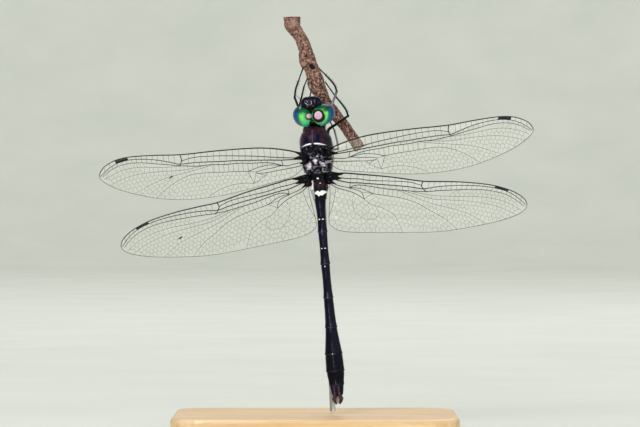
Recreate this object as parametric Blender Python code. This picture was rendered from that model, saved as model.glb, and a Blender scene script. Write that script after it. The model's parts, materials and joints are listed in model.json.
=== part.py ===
"""Life-size model of a male stream cruiser dragonfly hanging by its feet from a cut twig.

The twig is carried by a slim rod on a small wooden base. World units are metres, +Z up, with
the origin under the middle of the base. The back of the insect faces -Y and its head is up.

The insect is laid out in its own frame, in millimetres: x runs across the body (right is
positive), y from back to belly, z along the body from the tail (negative) to the head, and
the origin is at the neck. The twig and the stand are laid out in world millimetres.
"""

import math

import bmesh
import bpy
from mathutils import Matrix, Vector

MM = 0.001
GAP = 0.3                       # clearance that neighbouring pieces keep

# Pose of the insect.
NECK_PLACE = (-0.3, -5.0, 64.5)  # the neck, in world millimetres
BODY_LEAN = math.radians(5.0)    # the tail swings to the right of the head
TRUNK_ROLL = math.radians(9.0)   # the back is turned slightly to the left
HEAD_ROLL = math.radians(13.0)
HEAD_SHIFT = 0.1                 # the head sits a little to the right of the trunk's axis

# Trunk: rows of (z, half width, back y, belly y).
THORAX_ROWS = (
    (-0.2, 1.5, -1.5, 0.6),
    (-0.5, 2.08, -2.1, 1.1),
    (-1.1, 2.58, -2.85, 2.3),
    (-2.0, 3.0, -3.4, 4.2),
    (-3.3, 3.32, -3.6, 5.5),
    (-4.8, 3.4, -3.05, 6.0),
    (-6.4, 3.35, -2.75, 5.5),
    (-8.2, 3.2, -2.7, 4.4),
    (-9.6, 2.75, -2.45, 3.3),
    (-10.3, 2.2, -2.1, 2.5),
)
NECK_ROWS = (
    (0.3, 1.15, -0.6, 1.9),
    (0.0, 1.5, -0.6, 2.7),
    (-0.6, 1.5, -0.3, 3.7),
    (-1.2, 1.5, 0.8, 4.2),
    (-1.7, 1.1, 2.6, 4.3),
)

# Abdomen: the joints between its ten segments, and rows of (z, half width, half depth, arch).
SEGMENT_JOINTS = (-10.3, -11.6, -15.4, -22.25, -29.0, -36.1, -42.35, -47.95, -51.55, -54.5, -56.5)
ABDOMEN_ROWS = (
    (-10.3, 2.0, 2.15, 0.1),
    (-11.6, 1.9, 2.05, 0.05),
    (-13.2, 1.85, 2.05, 0.0),
    (-15.4, 1.25, 1.4, -0.1),
    (-18.6, 0.93, 0.95, -0.3),
    (-22.3, 0.95, 0.88, -0.5),
    (-25.5, 0.9, 0.85, -0.6),
    (-29.0, 0.95, 0.88, -0.65),
    (-32.0, 0.88, 0.85, -0.6),
    (-36.1, 0.99, 0.95, -0.5),
    (-42.3, 1.23, 1.15, -0.25),
    (-47.9, 1.8, 1.5, 0.05),
    (-51.6, 1.87, 1.35, 0.3),
    (-54.5, 1.48, 1.1, 0.45),
    (-56.5, 1.15, 0.85, 0.5),
)
ABDOMEN_SIDES = 16

# Head: rows of (z, half width, back y, belly y) for the capsule with the face in front.
HEAD_ROWS = (
    (6.35, 1.05, -1.3, 1.5),
    (6.0, 1.9, -1.9, 2.6),
    (5.3, 2.35, -2.15, 3.2),
    (4.5, 2.5, -2.4, 3.45),
    (3.6, 2.75, -2.3, 3.5),
    (2.4, 2.9, -2.05, 3.4),
    (1.2, 2.8, -1.95, 3.0),
    (0.6, 2.3, -1.7, 2.4),
)
EYE_CENTRE = (2.16, -0.1, 2.42)
EYE_RADII = (2.08, 2.9, 2.27)    # across, back to belly, along the body
EYE_TILT = math.radians(-28.0)   # the eyes lean together over the crown
EYE_SPLAY = 0.12                 # and stand further apart in front
LIP_ROWS = (
    (5.5, 1.1, 3.7, 4.1),
    (4.9, 1.75, 3.75, 4.45),
    (3.6, 1.8, 3.85, 4.55),
    (2.3, 1.3, 3.8, 4.4),
    (1.8, 0.8, 3.7, 4.1),
)
ANTENNA_ROOT = (1.15, -2.2, 5.0)
ANTENNA_TIP = (2.9, -2.7, 7.1)
ANTENNA_RADIUS = 0.26

# Wings: edges as (outward, rearward) points measured from where the front vein meets the body.
FORE_FRONT = ((-0.9, 0.6), (0.0, 0.0), (3.9, -1.15), (8.4, -1.9), (16.8, -2.3), (24.6, -2.4),
              (30.2, -2.9), (35.6, -3.15), (38.6, -2.75), (40.9, -1.7), (41.9, -0.65), (42.2, 0.1))
FORE_REAR = ((-0.9, 3.0), (0.2, 4.2), (2.0, 5.0), (5.5, 5.6), (11.0, 6.45), (15.3, 7.0),
             (20.7, 7.25), (25.6, 7.0), (31.0, 6.0), (36.2, 4.3), (39.6, 2.7), (41.5, 1.3), (42.2, 0.5))
HIND_FRONT = ((-1.9, 0.9), (0.0, 0.0), (4.2, -0.45), (10.8, -0.95), (17.3, -1.15), (21.2, -1.75),
              (26.2, -2.4), (31.5, -2.7), (35.2, -2.35), (37.5, -1.7), (39.0, -0.8), (39.6, 0.1))
HIND_REAR = ((-1.9, 2.7), (-1.45, 4.8), (-1.1, 7.4), (-0.9, 10.2), (0.2, 11.4), (1.8, 11.9), (4.5, 11.8),
             (9.8, 11.0), (15.2, 10.1), (22.4, 8.7), (28.4, 6.8), (34.5, 4.4), (37.8, 2.6),
             (39.2, 1.4), (39.6, 0.6))
FORE_LENGTH = 42.2
HIND_LENGTH = 39.6
WING_THICKNESS = 0.5
WING_ROOT_SWELL = 0.9            # extra thickness where the wing joins the body
WING_PLEAT = 0.25                # height of the fold behind the front vein
WING_STATIONS = 24
# (name, side, root, sweep, droop) in the frame of the insect; angles in degrees.
WINGS = (
    ("forewing_left", -1, (-3.85, -2.35, -5.1), 1.6, 5.0),
    ("forewing_right", 1, (3.45, -2.55, -4.7), -0.3, -2.0),
    ("hindwing_left", -1, (-4.8, -1.2, -10.4), 16.1, 5.0),
    ("hindwing_right", 1, (4.75, -1.4, -10.2), 14.4, -2.0),
)

# Legs: (name, hip on the rolled trunk, hip-side bend, knee, points of shin and foot).
LEGS = (
    ("fore_left", (-1.0, 3.8, -0.7), (-1.5, 4.9, -0.2), (-3.5, 5.6, 6.7),
     ((-3.1, 5.6, 8.5), (-2.35, 5.7, 10.2), (-1.2, 5.75, 12.7))),
    ("fore_right", (1.0, 3.8, -0.7), (2.2, 4.9, 0.1), (5.5, 5.3, 7.2),
     ((5.1, 5.4, 8.6), (3.35, 5.65, 11.0), (2.2, 5.75, 12.35))),
    ("mid_left", (-0.9, 5.4, -2.6), (-0.95, 6.4, -1.9), (-3.2, 6.3, 3.5),
     ((-2.4, 6.0, 5.6), (-1.3, 5.75, 8.9), (-0.5, 5.75, 10.4))),
    ("mid_right", (1.3, 5.4, -2.6), (3.2, 5.9, -0.6), (7.45, 4.8, 1.8),
     ((7.0, 4.95, 3.3), (5.05, 5.7, 6.3), (3.15, 6.2, 9.55))),
    ("hind_left", (-1.2, 5.9, -4.8), (-1.0, 7.2, -4.7), (-2.3, 12.0, -2.5),
     ((-2.2, 11.2, -0.5), (-0.75, 10.1, 5.2), (0.1, 9.75, 7.9))),
    ("hind_right", (1.2, 5.9, -4.8), (2.7, 7.2, -4.9), (4.75, 12.6, -4.85),
     ((4.75, 11.6, -3.8), (4.3, 9.2, -0.9), (3.55, 7.3, 1.0))),
)
HIP_RADIUS = 0.55
THIGH_RADIUS = 0.36
KNEE_RADIUS = 0.3
SHIN_RADIUS = 0.26

# Claspers at the tail.
CLASPER_POINTS = ((0.6, 0.35, -56.85), (0.78, 0.3, -57.3), (0.62, 0.3, -57.9), (0.42, 0.4, -58.45))
CLASPER_RADII = (0.27, 0.3, 0.27, 0.26)
TAIL_PLATE_POINTS = ((0.0, 1.0, -56.85), (0.0, 1.05, -57.5), (0.0, 0.95, -58.3))
TAIL_PLATE_RADII = (0.34, 0.32, 0.27)

# Twig and stand, in world millimetres.
TWIG_DEPTH = 2.5                 # y of the twig's middle line
TWIG_ROWS = (                    # (x, z, radius)
    (-4.9, 88.0, 1.9),
    (-4.85, 86.2, 1.77),
    (-4.45, 85.5, 1.62),
    (-3.9, 84.8, 1.46),
    (-3.05, 83.45, 1.39),
    (-2.45, 82.1, 1.45),
    (-1.95, 80.75, 1.56),
    (-1.9, 80.05, 1.74),
    (-1.75, 79.4, 1.82),
    (-1.6, 78.7, 1.84),
    (-1.35, 78.05, 1.74),
    (-0.9, 77.35, 1.6),
    (-0.65, 76.7, 1.62),
    (-0.1, 75.35, 1.7),
    (0.15, 74.65, 1.78),
    (0.2, 74.0, 1.92),
    (0.4, 73.3, 1.86),
    (0.75, 72.65, 1.74),
    (1.1, 71.95, 1.6),
    (1.7, 70.6, 1.45),
    (3.0, 68.7, 1.4),
    (4.75, 66.7, 1.3),
    (6.45, 64.6, 1.25),
    (8.4, 61.7, 1.3),
    (9.5, 60.0, 1.3),
)
TWIG_SIDES = 12
ROD_RADIUS = 0.6
ROD_DEPTH = 3.6
ROD_FOOT = (3.7, 4.3)
ROD_HEAD = (0.75, 68.5)
BASE_SIZE = (60.0, 44.0, 4.0)
BASE_CORNER = 7.0
BASE_EDGE = 0.7


def clear_scene():
    for leftover in list(bpy.data.objects):
        bpy.data.objects.remove(leftover, do_unlink=True)


def finish_material(name, colour, roughness, metallic=0.0):
    material = bpy.data.materials.new(name)
    material.use_nodes = True
    shader = material.node_tree.nodes["Principled BSDF"]
    shader.inputs["Base Color"].default_value = (*colour, 1.0)
    shader.inputs["Roughness"].default_value = roughness
    shader.inputs["Metallic"].default_value = metallic
    material.diffuse_color = (*colour, 1.0)
    return material


def pivot(name, parent=None, place=(0.0, 0.0, 0.0), turn=(0.0, 0.0, 0.0)):
    empty = bpy.data.objects.new(name, None)
    bpy.context.scene.collection.objects.link(empty)
    empty.parent = parent
    empty.location = Vector(place) * MM
    empty.rotation_euler = turn
    return empty


def solid(name, points, faces, material, parent=None, place=(0.0, 0.0, 0.0), turn=(0.0, 0.0, 0.0)):
    """One closed body from points in millimetres, with its faces turned outwards."""
    mesh = bpy.data.meshes.new(name)
    mesh.from_pydata([Vector(point) * MM for point in points], [], faces)
    shape = bmesh.new()
    shape.from_mesh(mesh)
    bmesh.ops.recalc_face_normals(shape, faces=shape.faces)
    shape.to_mesh(mesh)
    shape.free()
    mesh.shade_smooth()
    mesh.set_sharp_from_angle(angle=math.radians(40.0))
    body = bpy.data.objects.new(name, mesh)
    bpy.context.scene.collection.objects.link(body)
    body.parent = parent
    body.location = Vector(place) * MM
    body.rotation_euler = turn
    body.data.materials.append(material)
    return body


def skin_rings(rings):
    """Points and faces of a closed body through equal rings, with a flat face at each end."""
    sides = len(rings[0])
    points = [point for ring in rings for point in ring]
    faces = []
    for row in range(len(rings) - 1):
        for side in range(sides):
            after = (side + 1) % sides
            faces.append((row * sides + side, row * sides + after,
                          (row + 1) * sides + after, (row + 1) * sides + side))
    faces.append(tuple(range(sides)))
    faces.append(tuple(range((len(rings) - 1) * sides, len(rings) * sides)))
    return points, faces


def blend_rows(rows, place):
    """Values at a place along rows whose first number is the place: a smooth cubic through them."""
    ordered = sorted(rows)
    last = len(ordered) - 1
    place = min(max(place, ordered[0][0]), ordered[last][0])
    index = max(i for i in range(last) if ordered[i][0] <= place)
    start, end = ordered[index], ordered[index + 1]
    before = ordered[max(index - 1, 0)]
    after = ordered[min(index + 2, last)]
    span = end[0] - start[0]
    t = (place - start[0]) / span
    values = []
    for k in range(1, len(start)):
        slope_in = (end[k] - before[k]) / (end[0] - before[0]) * span
        slope_out = (after[k] - start[k]) / (after[0] - start[0]) * span
        values.append((2 * t**3 - 3 * t**2 + 1) * start[k] + (t**3 - 2 * t**2 + t) * slope_in
                      + (3 * t**2 - 2 * t**3) * end[k] + (t**3 - t**2) * slope_out)
    return values


def oval_ring(z, half_width, back, belly, sides, fullness=2.3, grow=0.0):
    """Points of a rounded oval across the body, a circle at fullness 2 and squarer above it."""
    middle = (back + belly) / 2
    half_depth = (belly - back) / 2 + grow
    ring = []
    for k in range(sides):
        angle = 2 * math.pi * k / sides
        across = math.copysign(abs(math.cos(angle)) ** (2 / fullness), math.cos(angle))
        deep = math.copysign(abs(math.sin(angle)) ** (2 / fullness), math.sin(angle))
        ring.append((across * (half_width + grow), middle + deep * half_depth, z))
    return ring


def tube_rings(route, radii, sides):
    """Round rings along a route, each square to it, without twist."""
    route = [Vector(point) for point in route]
    headings = []
    for k in range(len(route)):
        before = route[max(k - 1, 0)]
        after = route[min(k + 1, len(route) - 1)]
        headings.append((after - before).normalized())
    reference = headings[0].orthogonal().normalized()
    rings = []
    for point, heading, radius in zip(route, headings, radii):
        reference = (reference - heading * reference.dot(heading)).normalized()
        side = heading.cross(reference)
        rings.append([point + (reference * math.cos(2 * math.pi * k / sides)
                               + side * math.sin(2 * math.pi * k / sides)) * radius
                      for k in range(sides)])
    return rings


def cut_away(body, cutter):
    cut = body.modifiers.new("clear_of_" + cutter.name, "BOOLEAN")
    cut.operation = "DIFFERENCE"
    cut.object = cutter


def make_cutter(body):
    body.hide_render = True
    body.display_type = "WIRE"
    return body


def thorax_rings(grow=0.0):
    top, bottom = THORAX_ROWS[0][0], THORAX_ROWS[-1][0]
    count = 15
    rings = []
    for k in range(count):
        z = top + (bottom - top) * (k / (count - 1)) ** 1.15
        half_width, back, belly = blend_rows(THORAX_ROWS, z)
        rings.append(oval_ring(z, half_width, back, belly, 24, grow=grow))
    return rings


def make_thorax(trunk, material):
    solid("thorax", *skin_rings(thorax_rings()), material, trunk)
    rings = thorax_rings(GAP)
    rings[0] = [(x, y, z + GAP) for x, y, z in rings[0]]
    rings[-1] = [(x, y, z - 0.5 * GAP) for x, y, z in rings[-1]]
    return make_cutter(solid("thorax_clearance", *skin_rings(rings), material, trunk))


def make_neck(trunk, material, thorax_clearance):
    rings = [oval_ring(z, half_width, back, belly, 16) for z, half_width, back, belly in NECK_ROWS]
    neck = solid("neck", *skin_rings(rings), material, trunk)
    cut_away(neck, thorax_clearance)
    rings = [oval_ring(z, half_width, back, belly, 16, grow=GAP) for z, half_width, back, belly in NECK_ROWS]
    return make_cutter(solid("neck_clearance", *skin_rings(rings), material, trunk))


def make_abdomen(trunk, material):
    for number in range(1, len(SEGMENT_JOINTS)):
        top = SEGMENT_JOINTS[number - 1] - GAP / 2
        bottom = SEGMENT_JOINTS[number] + GAP / 2
        if number == 1:
            top -= GAP / 2
        steps = 3 if top - bottom < 3 else 5
        rings = []
        for k in range(steps + 1):
            z = top + (bottom - top) * k / steps
            half_width, half_depth, arch = blend_rows(ABDOMEN_ROWS, z)
            rings.append(oval_ring(z, half_width, arch - half_depth, arch + half_depth,
                                   ABDOMEN_SIDES, 2.1))
        solid(f"abdomen_{number}", *skin_rings(rings), material, trunk)


def make_claspers(trunk, dark, pale):
    for name, side in (("clasper_left", -1), ("clasper_right", 1)):
        route = [(side * x, y, z) for x, y, z in CLASPER_POINTS]
        solid(name, *skin_rings(tube_rings(route, CLASPER_RADII, 8)), dark, trunk)
    solid("tail_plate", *skin_rings(tube_rings(TAIL_PLATE_POINTS, TAIL_PLATE_RADII, 8)), pale, trunk)


def eye_shape(side, grow=0.0, inner=GAP / 2):
    """An egg leaning over the crown, cut flat where it faces the other eye."""
    shape = bmesh.new()
    bmesh.ops.create_uvsphere(shape, u_segments=22, v_segments=14, radius=1.0)
    stretch = Matrix.Diagonal([radius + grow for radius in EYE_RADII] + [1.0])
    lean = Matrix.Rotation(EYE_TILT, 4, "Z")
    splay = Matrix.Identity(4)
    splay[0][2] = EYE_SPLAY
    middle = Matrix.Translation(Vector(EYE_CENTRE))
    bmesh.ops.transform(shape, matrix=middle @ splay @ lean @ stretch, verts=shape.verts)
    cut = bmesh.ops.bisect_plane(shape, geom=shape.verts[:] + shape.edges[:] + shape.faces[:],
                                 plane_co=(inner, 0, 0), plane_no=(1, 0, 0), clear_inner=True)
    rim = [edge for edge in cut["geom_cut"] if isinstance(edge, bmesh.types.BMEdge)]
    bmesh.ops.contextual_create(shape, geom=rim)
    bmesh.ops.dissolve_degenerate(shape, dist=0.02, edges=shape.edges)
    points = [(side * vertex.co.x, vertex.co.y, vertex.co.z) for vertex in shape.verts]
    shape.verts.index_update()
    faces = [tuple(vertex.index for vertex in face.verts) for face in shape.faces]
    shape.free()
    return points, faces


def make_head(head_pivot, cuticle, eye_gloss):
    tops = [row[0] for row in HEAD_ROWS]
    count = 11
    rings = []
    for k in range(count):
        z = tops[0] + (tops[-1] - tops[0]) * k / (count - 1)
        half_width, back, belly = blend_rows(HEAD_ROWS, z)
        rings.append(oval_ring(z, half_width, back, belly, 20, 2.5))
    head = solid("head", *skin_rings(rings), cuticle, head_pivot)
    for name, side in (("eye_left", -1), ("eye_right", 1)):
        solid(name, *eye_shape(side), eye_gloss, head_pivot)
        socket = solid(name + "_socket", *eye_shape(side, GAP, -GAP), cuticle, head_pivot)
        cut_away(head, make_cutter(socket))


def make_mouthparts(head_pivot, material):
    rings = [oval_ring(z, half_width, back, belly, 12) for z, half_width, back, belly in LIP_ROWS]
    solid("mouthparts", *skin_rings(rings), material, head_pivot)


def make_antennae(head_pivot, material):
    for name, side in (("antenna_left", -1), ("antenna_right", 1)):
        root = Vector((side * ANTENNA_ROOT[0], *ANTENNA_ROOT[1:]))
        tip = Vector((side * ANTENNA_TIP[0], *ANTENNA_TIP[1:]))
        route = [root.lerp(tip, k / 3) for k in range(4)]
        radii = [ANTENNA_RADIUS] * 4
        solid(name, *skin_rings(tube_rings(route, radii, 8)), material, head_pivot)


def wing_rings(front_edge, rear_edge, length, side):
    """Sections of a thin pleated blade, from its root to its rounded tip."""
    root = front_edge[0][0]
    rings = []
    for k in range(WING_STATIONS):
        share = k / (WING_STATIONS - 1)
        outward = root + (length - 0.02 - root) * (0.35 * share + 0.65 * math.sin(share * math.pi / 2))
        front = blend_rows(front_edge, outward)[0]
        rear = blend_rows(rear_edge, outward)[0]
        thick = WING_THICKNESS + WING_ROOT_SWELL * math.exp(-(outward - root) / 1.2)
        pleat = WING_PLEAT * (1 - share)
        section = ((0.0, 0.0), (0.14, pleat), (0.3, 0.0), (1.0, 0.0))
        upper = [(side * outward, -height - thick / 2, -(front + (rear - front) * across))
                 for across, height in section]
        lower = [(side * outward, -height + thick / 2, -(front + (rear - front) * across))
                 for across, height in reversed(section)]
        rings.append(upper + lower)
    return rings


def make_wings(body_axis, material, thorax_clearance):
    for name, side, root, sweep, droop in WINGS:
        if name.startswith("fore"):
            rings = wing_rings(FORE_FRONT, FORE_REAR, FORE_LENGTH, side)
        else:
            rings = wing_rings(HIND_FRONT, HIND_REAR, HIND_LENGTH, side)
        turn = (0.0, side * math.radians(sweep), side * math.radians(droop))
        wing = solid(name, *skin_rings(rings), material, body_axis, root, turn)
        cut_away(wing, thorax_clearance)


def make_legs(body_axis, material, thorax_clearance, neck_clearance):
    """Each leg is a thigh with its hip and a shin with its foot, in two bodies that meet at the knee."""
    roll = Matrix.Rotation(-TRUNK_ROLL, 3, "Z")
    for name, hip, bend, knee, shin in LEGS:
        hip = roll @ Vector(hip)
        bend, knee = Vector(bend), Vector(knee)
        inward = hip + (hip - bend) * 0.5
        route = [inward, hip, bend, bend.lerp(knee, 0.35), bend.lerp(knee, 0.75),
                 knee - (knee - bend).normalized() * 0.2]
        radii = (HIP_RADIUS, HIP_RADIUS, THIGH_RADIUS, THIGH_RADIUS, KNEE_RADIUS, KNEE_RADIUS)
        thigh = solid("thigh_" + name, *skin_rings(tube_rings(route, radii, 8)), material, body_axis)
        cut_away(thigh, thorax_clearance)
        if name.startswith("fore"):
            cut_away(thigh, neck_clearance)
        first = knee + (Vector(shin[0]) - knee).normalized() * (GAP + 0.3)
        route = [first, *shin]
        solid("shin_" + name, *skin_rings(tube_rings(route, [SHIN_RADIUS] * len(route), 8)),
              material, body_axis)


def twig_rings(grow=0.0):
    route = [(x, TWIG_DEPTH, z) for x, z, radius in TWIG_ROWS]
    return tube_rings(route, [radius + grow for x, z, radius in TWIG_ROWS], TWIG_SIDES)


def make_perch(material):
    solid("perch", *skin_rings(twig_rings()), material)
    return make_cutter(solid("perch_clearance", *skin_rings(twig_rings(GAP)), material))


def make_stand(steel, wood, perch_clearance):
    foot = Vector((ROD_FOOT[0], ROD_DEPTH, ROD_FOOT[1]))
    head = Vector((ROD_HEAD[0], ROD_DEPTH, ROD_HEAD[1]))
    route = [foot, foot.lerp(head, 0.5), head]
    rod = solid("stand_rod", *skin_rings(tube_rings(route, [ROD_RADIUS] * 3, 12)), steel)
    cut_away(rod, perch_clearance)

    width, depth, height = BASE_SIZE
    rim = []
    corners = ((1, 1, 0), (-1, 1, 90), (-1, -1, 180), (1, -1, 270))
    for side_x, side_y, start in corners:
        for step in range(7):
            angle = math.radians(start + 15 * step)
            rim.append((side_x * (width / 2 - BASE_CORNER) + BASE_CORNER * math.cos(angle),
                        side_y * (depth / 2 - BASE_CORNER) + BASE_CORNER * math.sin(angle)))
    rings = [[(x, y, z) for x, y in rim] for z in (0.0, height)]
    base = solid("stand_base", *skin_rings(rings), wood)
    edge = base.modifiers.new("soft_edge", "BEVEL")
    edge.width = BASE_EDGE * MM
    edge.segments = 2
    edge.limit_method = "ANGLE"


def main():
    clear_scene()
    cuticle = finish_material("black_cuticle", (0.012, 0.011, 0.02), 0.3)
    head_cuticle = finish_material("blue_black_cuticle", (0.014, 0.014, 0.045), 0.25)
    thorax_cuticle = finish_material("purple_brown_cuticle", (0.045, 0.026, 0.04), 0.42)
    pale_cuticle = finish_material("pale_cuticle", (0.35, 0.22, 0.2), 0.5)
    eye_gloss = finish_material("green_eye", (0.03, 0.3, 0.16), 0.12)
    membrane = finish_material("wing_membrane", (0.62, 0.63, 0.55), 0.2)
    bark = finish_material("bark", (0.2, 0.11, 0.08), 0.85)
    steel = finish_material("steel", (0.6, 0.6, 0.6), 0.3, 1.0)
    wood = finish_material("maple", (0.62, 0.47, 0.32), 0.5)

    body_axis = pivot("body_axis", None, NECK_PLACE, (0.0, -BODY_LEAN, 0.0))
    trunk = pivot("trunk", body_axis, turn=(0.0, 0.0, -TRUNK_ROLL))
    head_pivot = pivot("head_pivot", body_axis, (HEAD_SHIFT, 0.0, 0.0), (0.0, 0.0, -HEAD_ROLL))

    thorax_clearance = make_thorax(trunk, thorax_cuticle)
    neck_clearance = make_neck(trunk, thorax_cuticle, thorax_clearance)
    make_abdomen(trunk, cuticle)
    make_claspers(trunk, cuticle, pale_cuticle)
    make_head(head_pivot, head_cuticle, eye_gloss)
    make_mouthparts(head_pivot, cuticle)
    make_antennae(head_pivot, cuticle)
    make_wings(body_axis, membrane, thorax_clearance)
    make_legs(body_axis, cuticle, thorax_clearance, neck_clearance)
    perch_clearance = make_perch(bark)
    make_stand(steel, wood, perch_clearance)


main()
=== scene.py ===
"""Looks of the life-size stream cruiser dragonfly on its twig and stand.

Shapes are laid out in millimetres in the insect's own frame: x across the body (right is
positive), y from back to belly, z from the tail (negative) to the head, origin at the neck.
"""

import json
import math
import random

import bmesh
import bpy
import numpy as np
from mathutils import Euler, Matrix, Vector, geometry

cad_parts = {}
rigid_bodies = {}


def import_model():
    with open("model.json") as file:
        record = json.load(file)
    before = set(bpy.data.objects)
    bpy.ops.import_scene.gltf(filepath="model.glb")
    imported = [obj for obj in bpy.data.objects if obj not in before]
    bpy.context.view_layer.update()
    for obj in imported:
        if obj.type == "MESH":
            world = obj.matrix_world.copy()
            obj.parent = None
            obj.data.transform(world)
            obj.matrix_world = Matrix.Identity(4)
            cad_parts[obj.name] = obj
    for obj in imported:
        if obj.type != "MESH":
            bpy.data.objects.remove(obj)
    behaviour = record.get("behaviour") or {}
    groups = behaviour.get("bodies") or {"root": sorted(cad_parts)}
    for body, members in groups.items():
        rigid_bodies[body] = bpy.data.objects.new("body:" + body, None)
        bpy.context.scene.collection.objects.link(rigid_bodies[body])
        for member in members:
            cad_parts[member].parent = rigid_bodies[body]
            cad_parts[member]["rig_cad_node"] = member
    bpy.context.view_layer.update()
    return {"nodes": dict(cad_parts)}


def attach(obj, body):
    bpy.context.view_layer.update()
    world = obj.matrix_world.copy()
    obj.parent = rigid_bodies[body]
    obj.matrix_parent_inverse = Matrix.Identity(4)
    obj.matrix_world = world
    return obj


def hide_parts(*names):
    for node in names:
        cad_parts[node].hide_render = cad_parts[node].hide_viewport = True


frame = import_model()

MM = 0.001
TAU = 2 * math.pi

# Pose: where the neck is in the world, and how far body, trunk and head turn, in degrees.
NECK_PLACE = (-0.3, -5.0, 64.5)
BODY_LEAN = 5.0
TRUNK_ROLL = 9.0
HEAD_ROLL = 13.0
HEAD_SHIFT = 0.1


def spin(axis, degrees):
    """A turn about one axis."""
    return Matrix.Rotation(math.radians(degrees), 4, axis)


WORLD = Matrix.Identity(4)
BODY = Matrix.Translation(NECK_PLACE) @ spin("Y", -BODY_LEAN)
TRUNK = BODY @ spin("Z", -TRUNK_ROLL)
HEAD = BODY @ Matrix.Translation((HEAD_SHIFT, 0.0, 0.0)) @ spin("Z", -HEAD_ROLL)

# Trunk: rows of (z, half width, back y, belly y, fullness of the oval).
TRUNK_ROWS = (
    (1.2, 0.5, -0.2, 1.2, 2.0),
    (0.5, 0.95, -0.6, 1.8, 2.0),
    (0.1, 1.4, -0.95, 2.5, 2.1),
    (-0.2, 1.55, -1.35, 2.9, 2.2),
    (-0.5, 2.05, -2.05, 3.4, 2.3),
    (-1.1, 2.54, -2.82, 4.0, 2.3),
    (-2.0, 2.97, -3.38, 4.5, 2.3),
    (-3.3, 3.29, -3.58, 5.4, 2.3),
    (-4.8, 3.36, -3.02, 5.9, 2.3),
    (-6.4, 3.3, -2.72, 5.4, 2.3),
    (-8.2, 3.1, -2.67, 4.3, 2.3),
    (-9.6, 2.7, -2.42, 3.2, 2.3),
    (-10.3, 2.15, -2.07, 2.45, 2.2),
    (-11.0, 1.88, -1.95, 2.1, 2.1),
    (-11.6, 1.88, -1.98, 2.08, 2.1),
    (-13.2, 1.83, -2.03, 2.03, 2.1),
    (-15.4, 1.23, -1.48, 1.28, 2.1),
    (-18.6, 0.91, -1.23, 0.63, 2.1),
    (-22.3, 0.93, -1.36, 0.36, 2.1),
    (-25.5, 0.88, -1.43, 0.23, 2.1),
    (-29.0, 0.93, -1.51, 0.21, 2.1),
    (-32.0, 0.86, -1.43, 0.23, 2.1),
    (-36.1, 0.97, -1.43, 0.43, 2.1),
    (-42.3, 1.21, -1.38, 0.88, 2.1),
    (-47.9, 1.78, -1.43, 1.53, 2.1),
    (-51.6, 1.85, -1.03, 1.63, 2.1),
    (-54.5, 1.46, -0.63, 1.53, 2.1),
    (-56.5, 1.13, -0.33, 1.33, 2.1),
    (-56.75, 0.7, 0.0, 1.1, 2.1),
)
TRUNK_SIDES = 192
TRUNK_FRONT, TRUNK_TAIL = TRUNK_ROWS[0][0], TRUNK_ROWS[-1][0]
ABDOMEN_START = -10.3
SEGMENT_JOINTS = (-11.6, -15.4, -22.25, -29.0, -36.1, -42.35, -47.95, -51.55, -54.5)
CROSS_RIDGES = (-13.1, -19.5, -25.6, -32.2, -39.0)
# Rings of the skin lie close together near these.
FINE_PLACES = SEGMENT_JOINTS + CROSS_RIDGES + (-14.35, -29.1)
# Seams up the sides of the chest: z at the hips and at the wings.
SIDE_SEAMS = ((-1.6, -4.3), (-3.0, -6.6), (-4.9, -9.2))
# Small plates on the floor between the wings, mirrored: (x, z, half across, half along, rise).
FLOOR_PLATES = (
    (0.95, -5.05, 0.72, 0.6, 0.36), (0.42, -4.42, 0.26, 0.2, 0.14), (0.0, -5.95, 0.42, 0.42, 0.34),
    (0.84, -6.32, 0.3, 0.24, 0.26), (0.0, -7.3, 0.42, 0.46, 0.42), (1.2, -7.75, 0.5, 0.42, 0.3),
    (1.05, -8.6, 0.62, 0.42, 0.32), (0.0, -9.1, 0.45, 0.4, 0.34), (2.15, -4.75, 0.42, 0.36, 0.34),
    (2.2, -5.75, 0.4, 0.42, 0.3), (2.25, -6.75, 0.42, 0.36, 0.26), (2.25, -7.9, 0.5, 0.42, 0.32),
    (2.0, -9.0, 0.5, 0.5, 0.34),
)
# Markings of the back. Edges of the pale band: x from its middle, and z at each.
BAND_TOP = ((-1.2, -0.85, -0.56, -0.3, -0.04, 0.2, 0.45, 0.8, 1.2, 1.5),
            (-13.95, -13.64, -13.46, -13.52, -13.8, -13.54, -13.46, -13.53, -13.7, -13.92))
BAND_FOOT = ((-1.2, -0.85, -0.6, -0.32, -0.02, 0.25, 0.48, 0.85, 1.2, 1.5),
             (-14.0, -14.18, -14.32, -14.66, -14.38, -14.5, -14.46, -14.16, -14.06, -13.96))
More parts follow.
